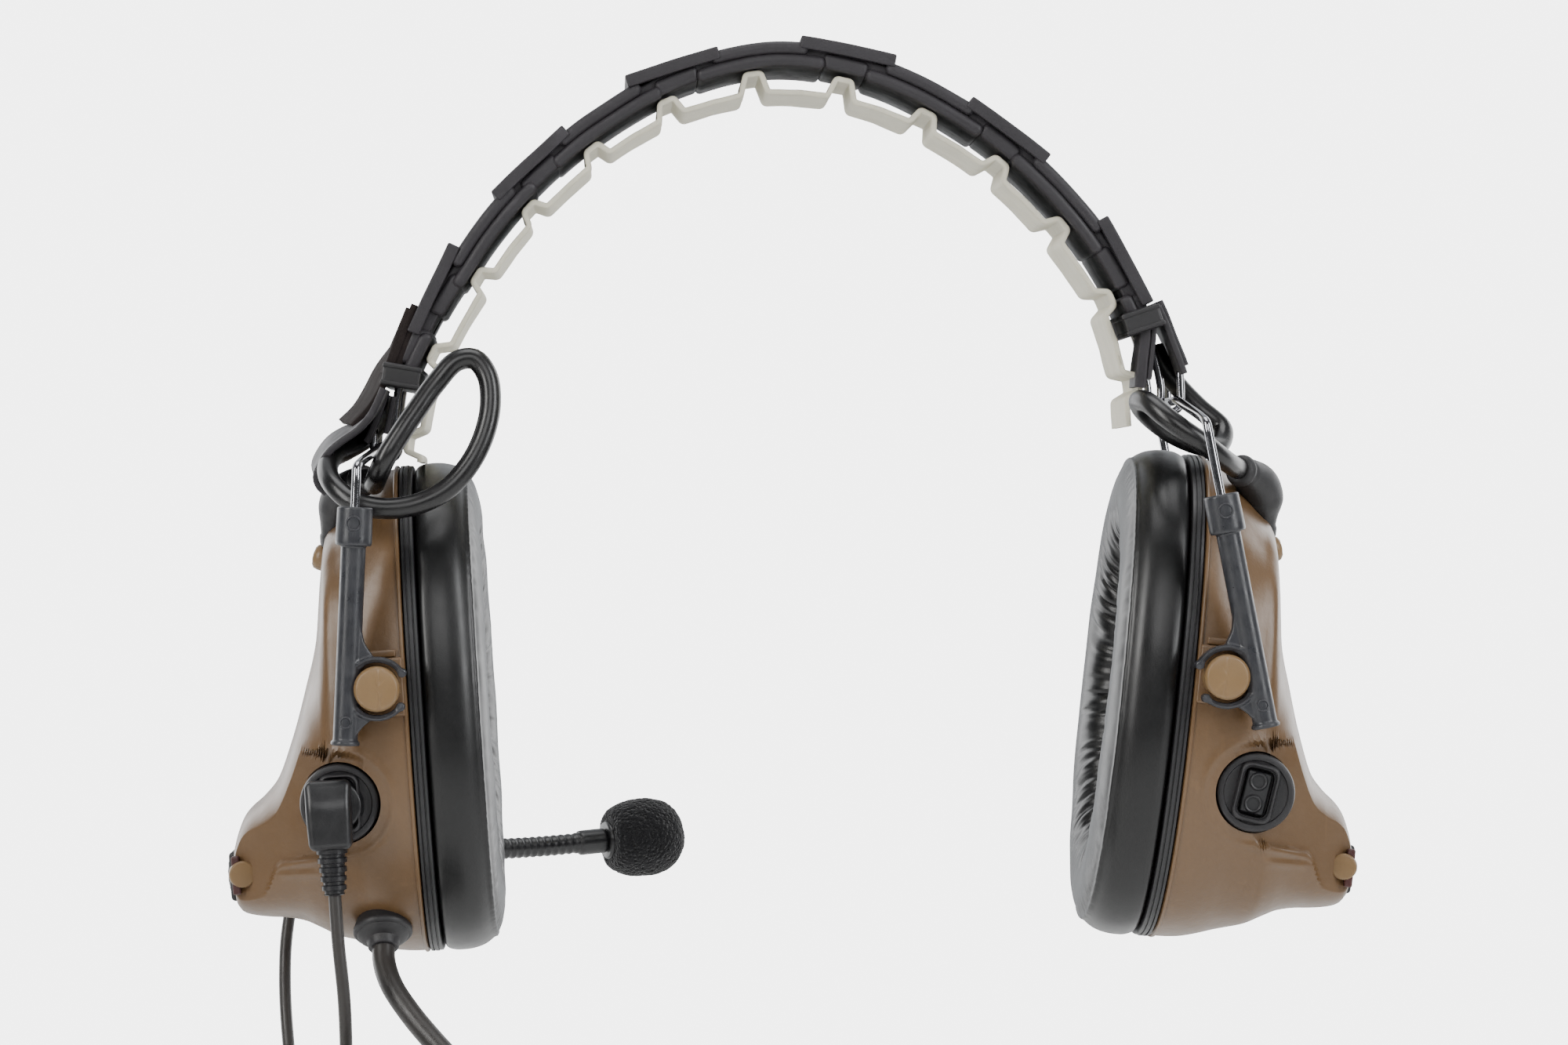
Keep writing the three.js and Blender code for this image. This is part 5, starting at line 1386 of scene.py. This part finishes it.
for x in L:
    neck = sstep(x, 9, 12) * (1 - sstep(x, L[-1] - 8, L[-1] - 5))
    rib = 0.22 * (0.5 + 0.5 * math.cos(x / 1.9 * 2 * math.pi)) ** 1.5
    rr.append(2.55 + 0.55 * (1 - sstep(x, 8.2, 9.4)) + 0.45 * sstep(x, L[-1] - 6.5, L[-1] - 5.8) - neck * 0.25 + rib * neck)
arm = sweep(B, rr, 24, 0.3)
put(join("boom_gooseneck", [moved(eye, f), moved(arm, f)], "plastic", 50), "boom", "boom_arm", slot="black_plastic")
tip, td = np.array([-39, 102, -38.5]), np.array([-16, 6.2, 0]) / 17.16
cap = lathe(fillet([(0, 0), (4.3, 0), (4.6, 0.5), (4.6, 12.6), (4.2, 13), (0, 13)], 0.2, 2), tip + td * 0.8, td, 48)
put(join("boom_mic_capsule", [moved(cap, f)], "plastic", 40), "boom", "boom_microphone", slot="black_plastic")
pr = spline([(4.9, 0, 0), (6.6, 0.25, 0), (7.6, 1.2, 0), (8.9, 4.2, 0), (9.4, 7.6, 0), (9.35, 11, 0), (8.3, 14.6, 0), (6.2, 17.2, 0), (3.4, 18.6, 0), (0.02, 19.0, 0)], 0.4)
V, F = lathe([(0, 0.3), (3, 0.1)] + [(p[0], p[1]) for p in pr], tip + td * 1.6, td, 150)
mid = tip + td * 10
V = [p + unit(p - mid) * (-0.42 * max(0, noisy(p, 1.15, 3)) - 0.22 * abs(noisy(p, 2.2, 6)) + 0.18 * noisy(p, 0.3, 1)) for p in np.array(V)]
wsn = join("windscreen_foam", [moved((V, F), f)], "foam", 75)
put(wsn, "boom", "windscreen", slot="foam")

# parts inside the cups keep their exact solids and get finished surfaces
for side in ("left", "right"):
    for node, mat in (("speaker", "plastic"), ("circuit_board", "circuit"), ("battery", "battery")):
        o = bpy.data.objects.get(f"{node}_{side}")
        if o is not None:
            o.data.materials.clear()
            o.data.materials.append(MAT[mat])

# ------------------------------------------------------------------ floor
me = bpy.data.meshes.new("floor")
fl = [(0, 0, -0.42)] + [(1.5 * cos(2 * math.pi * i / 64), 1.5 * sin(2 * math.pi * i / 64), -0.42) for i in range(64)]
me.from_pydata(fl, [], [(0, 1 + i, 1 + (i + 1) % 64) for i in range(64)])
floor = bpy.data.objects.new("floor", me)
scene.collection.objects.link(floor)
fm = bpy.data.materials.new("floor")
fm.use_nodes = True
fm.node_tree.nodes["Principled BSDF"].inputs["Base Color"].default_value = (0.86, 0.86, 0.85, 1)
fm.node_tree.nodes["Principled BSDF"].inputs["Roughness"].default_value = 0.7
me.materials.append(fm)
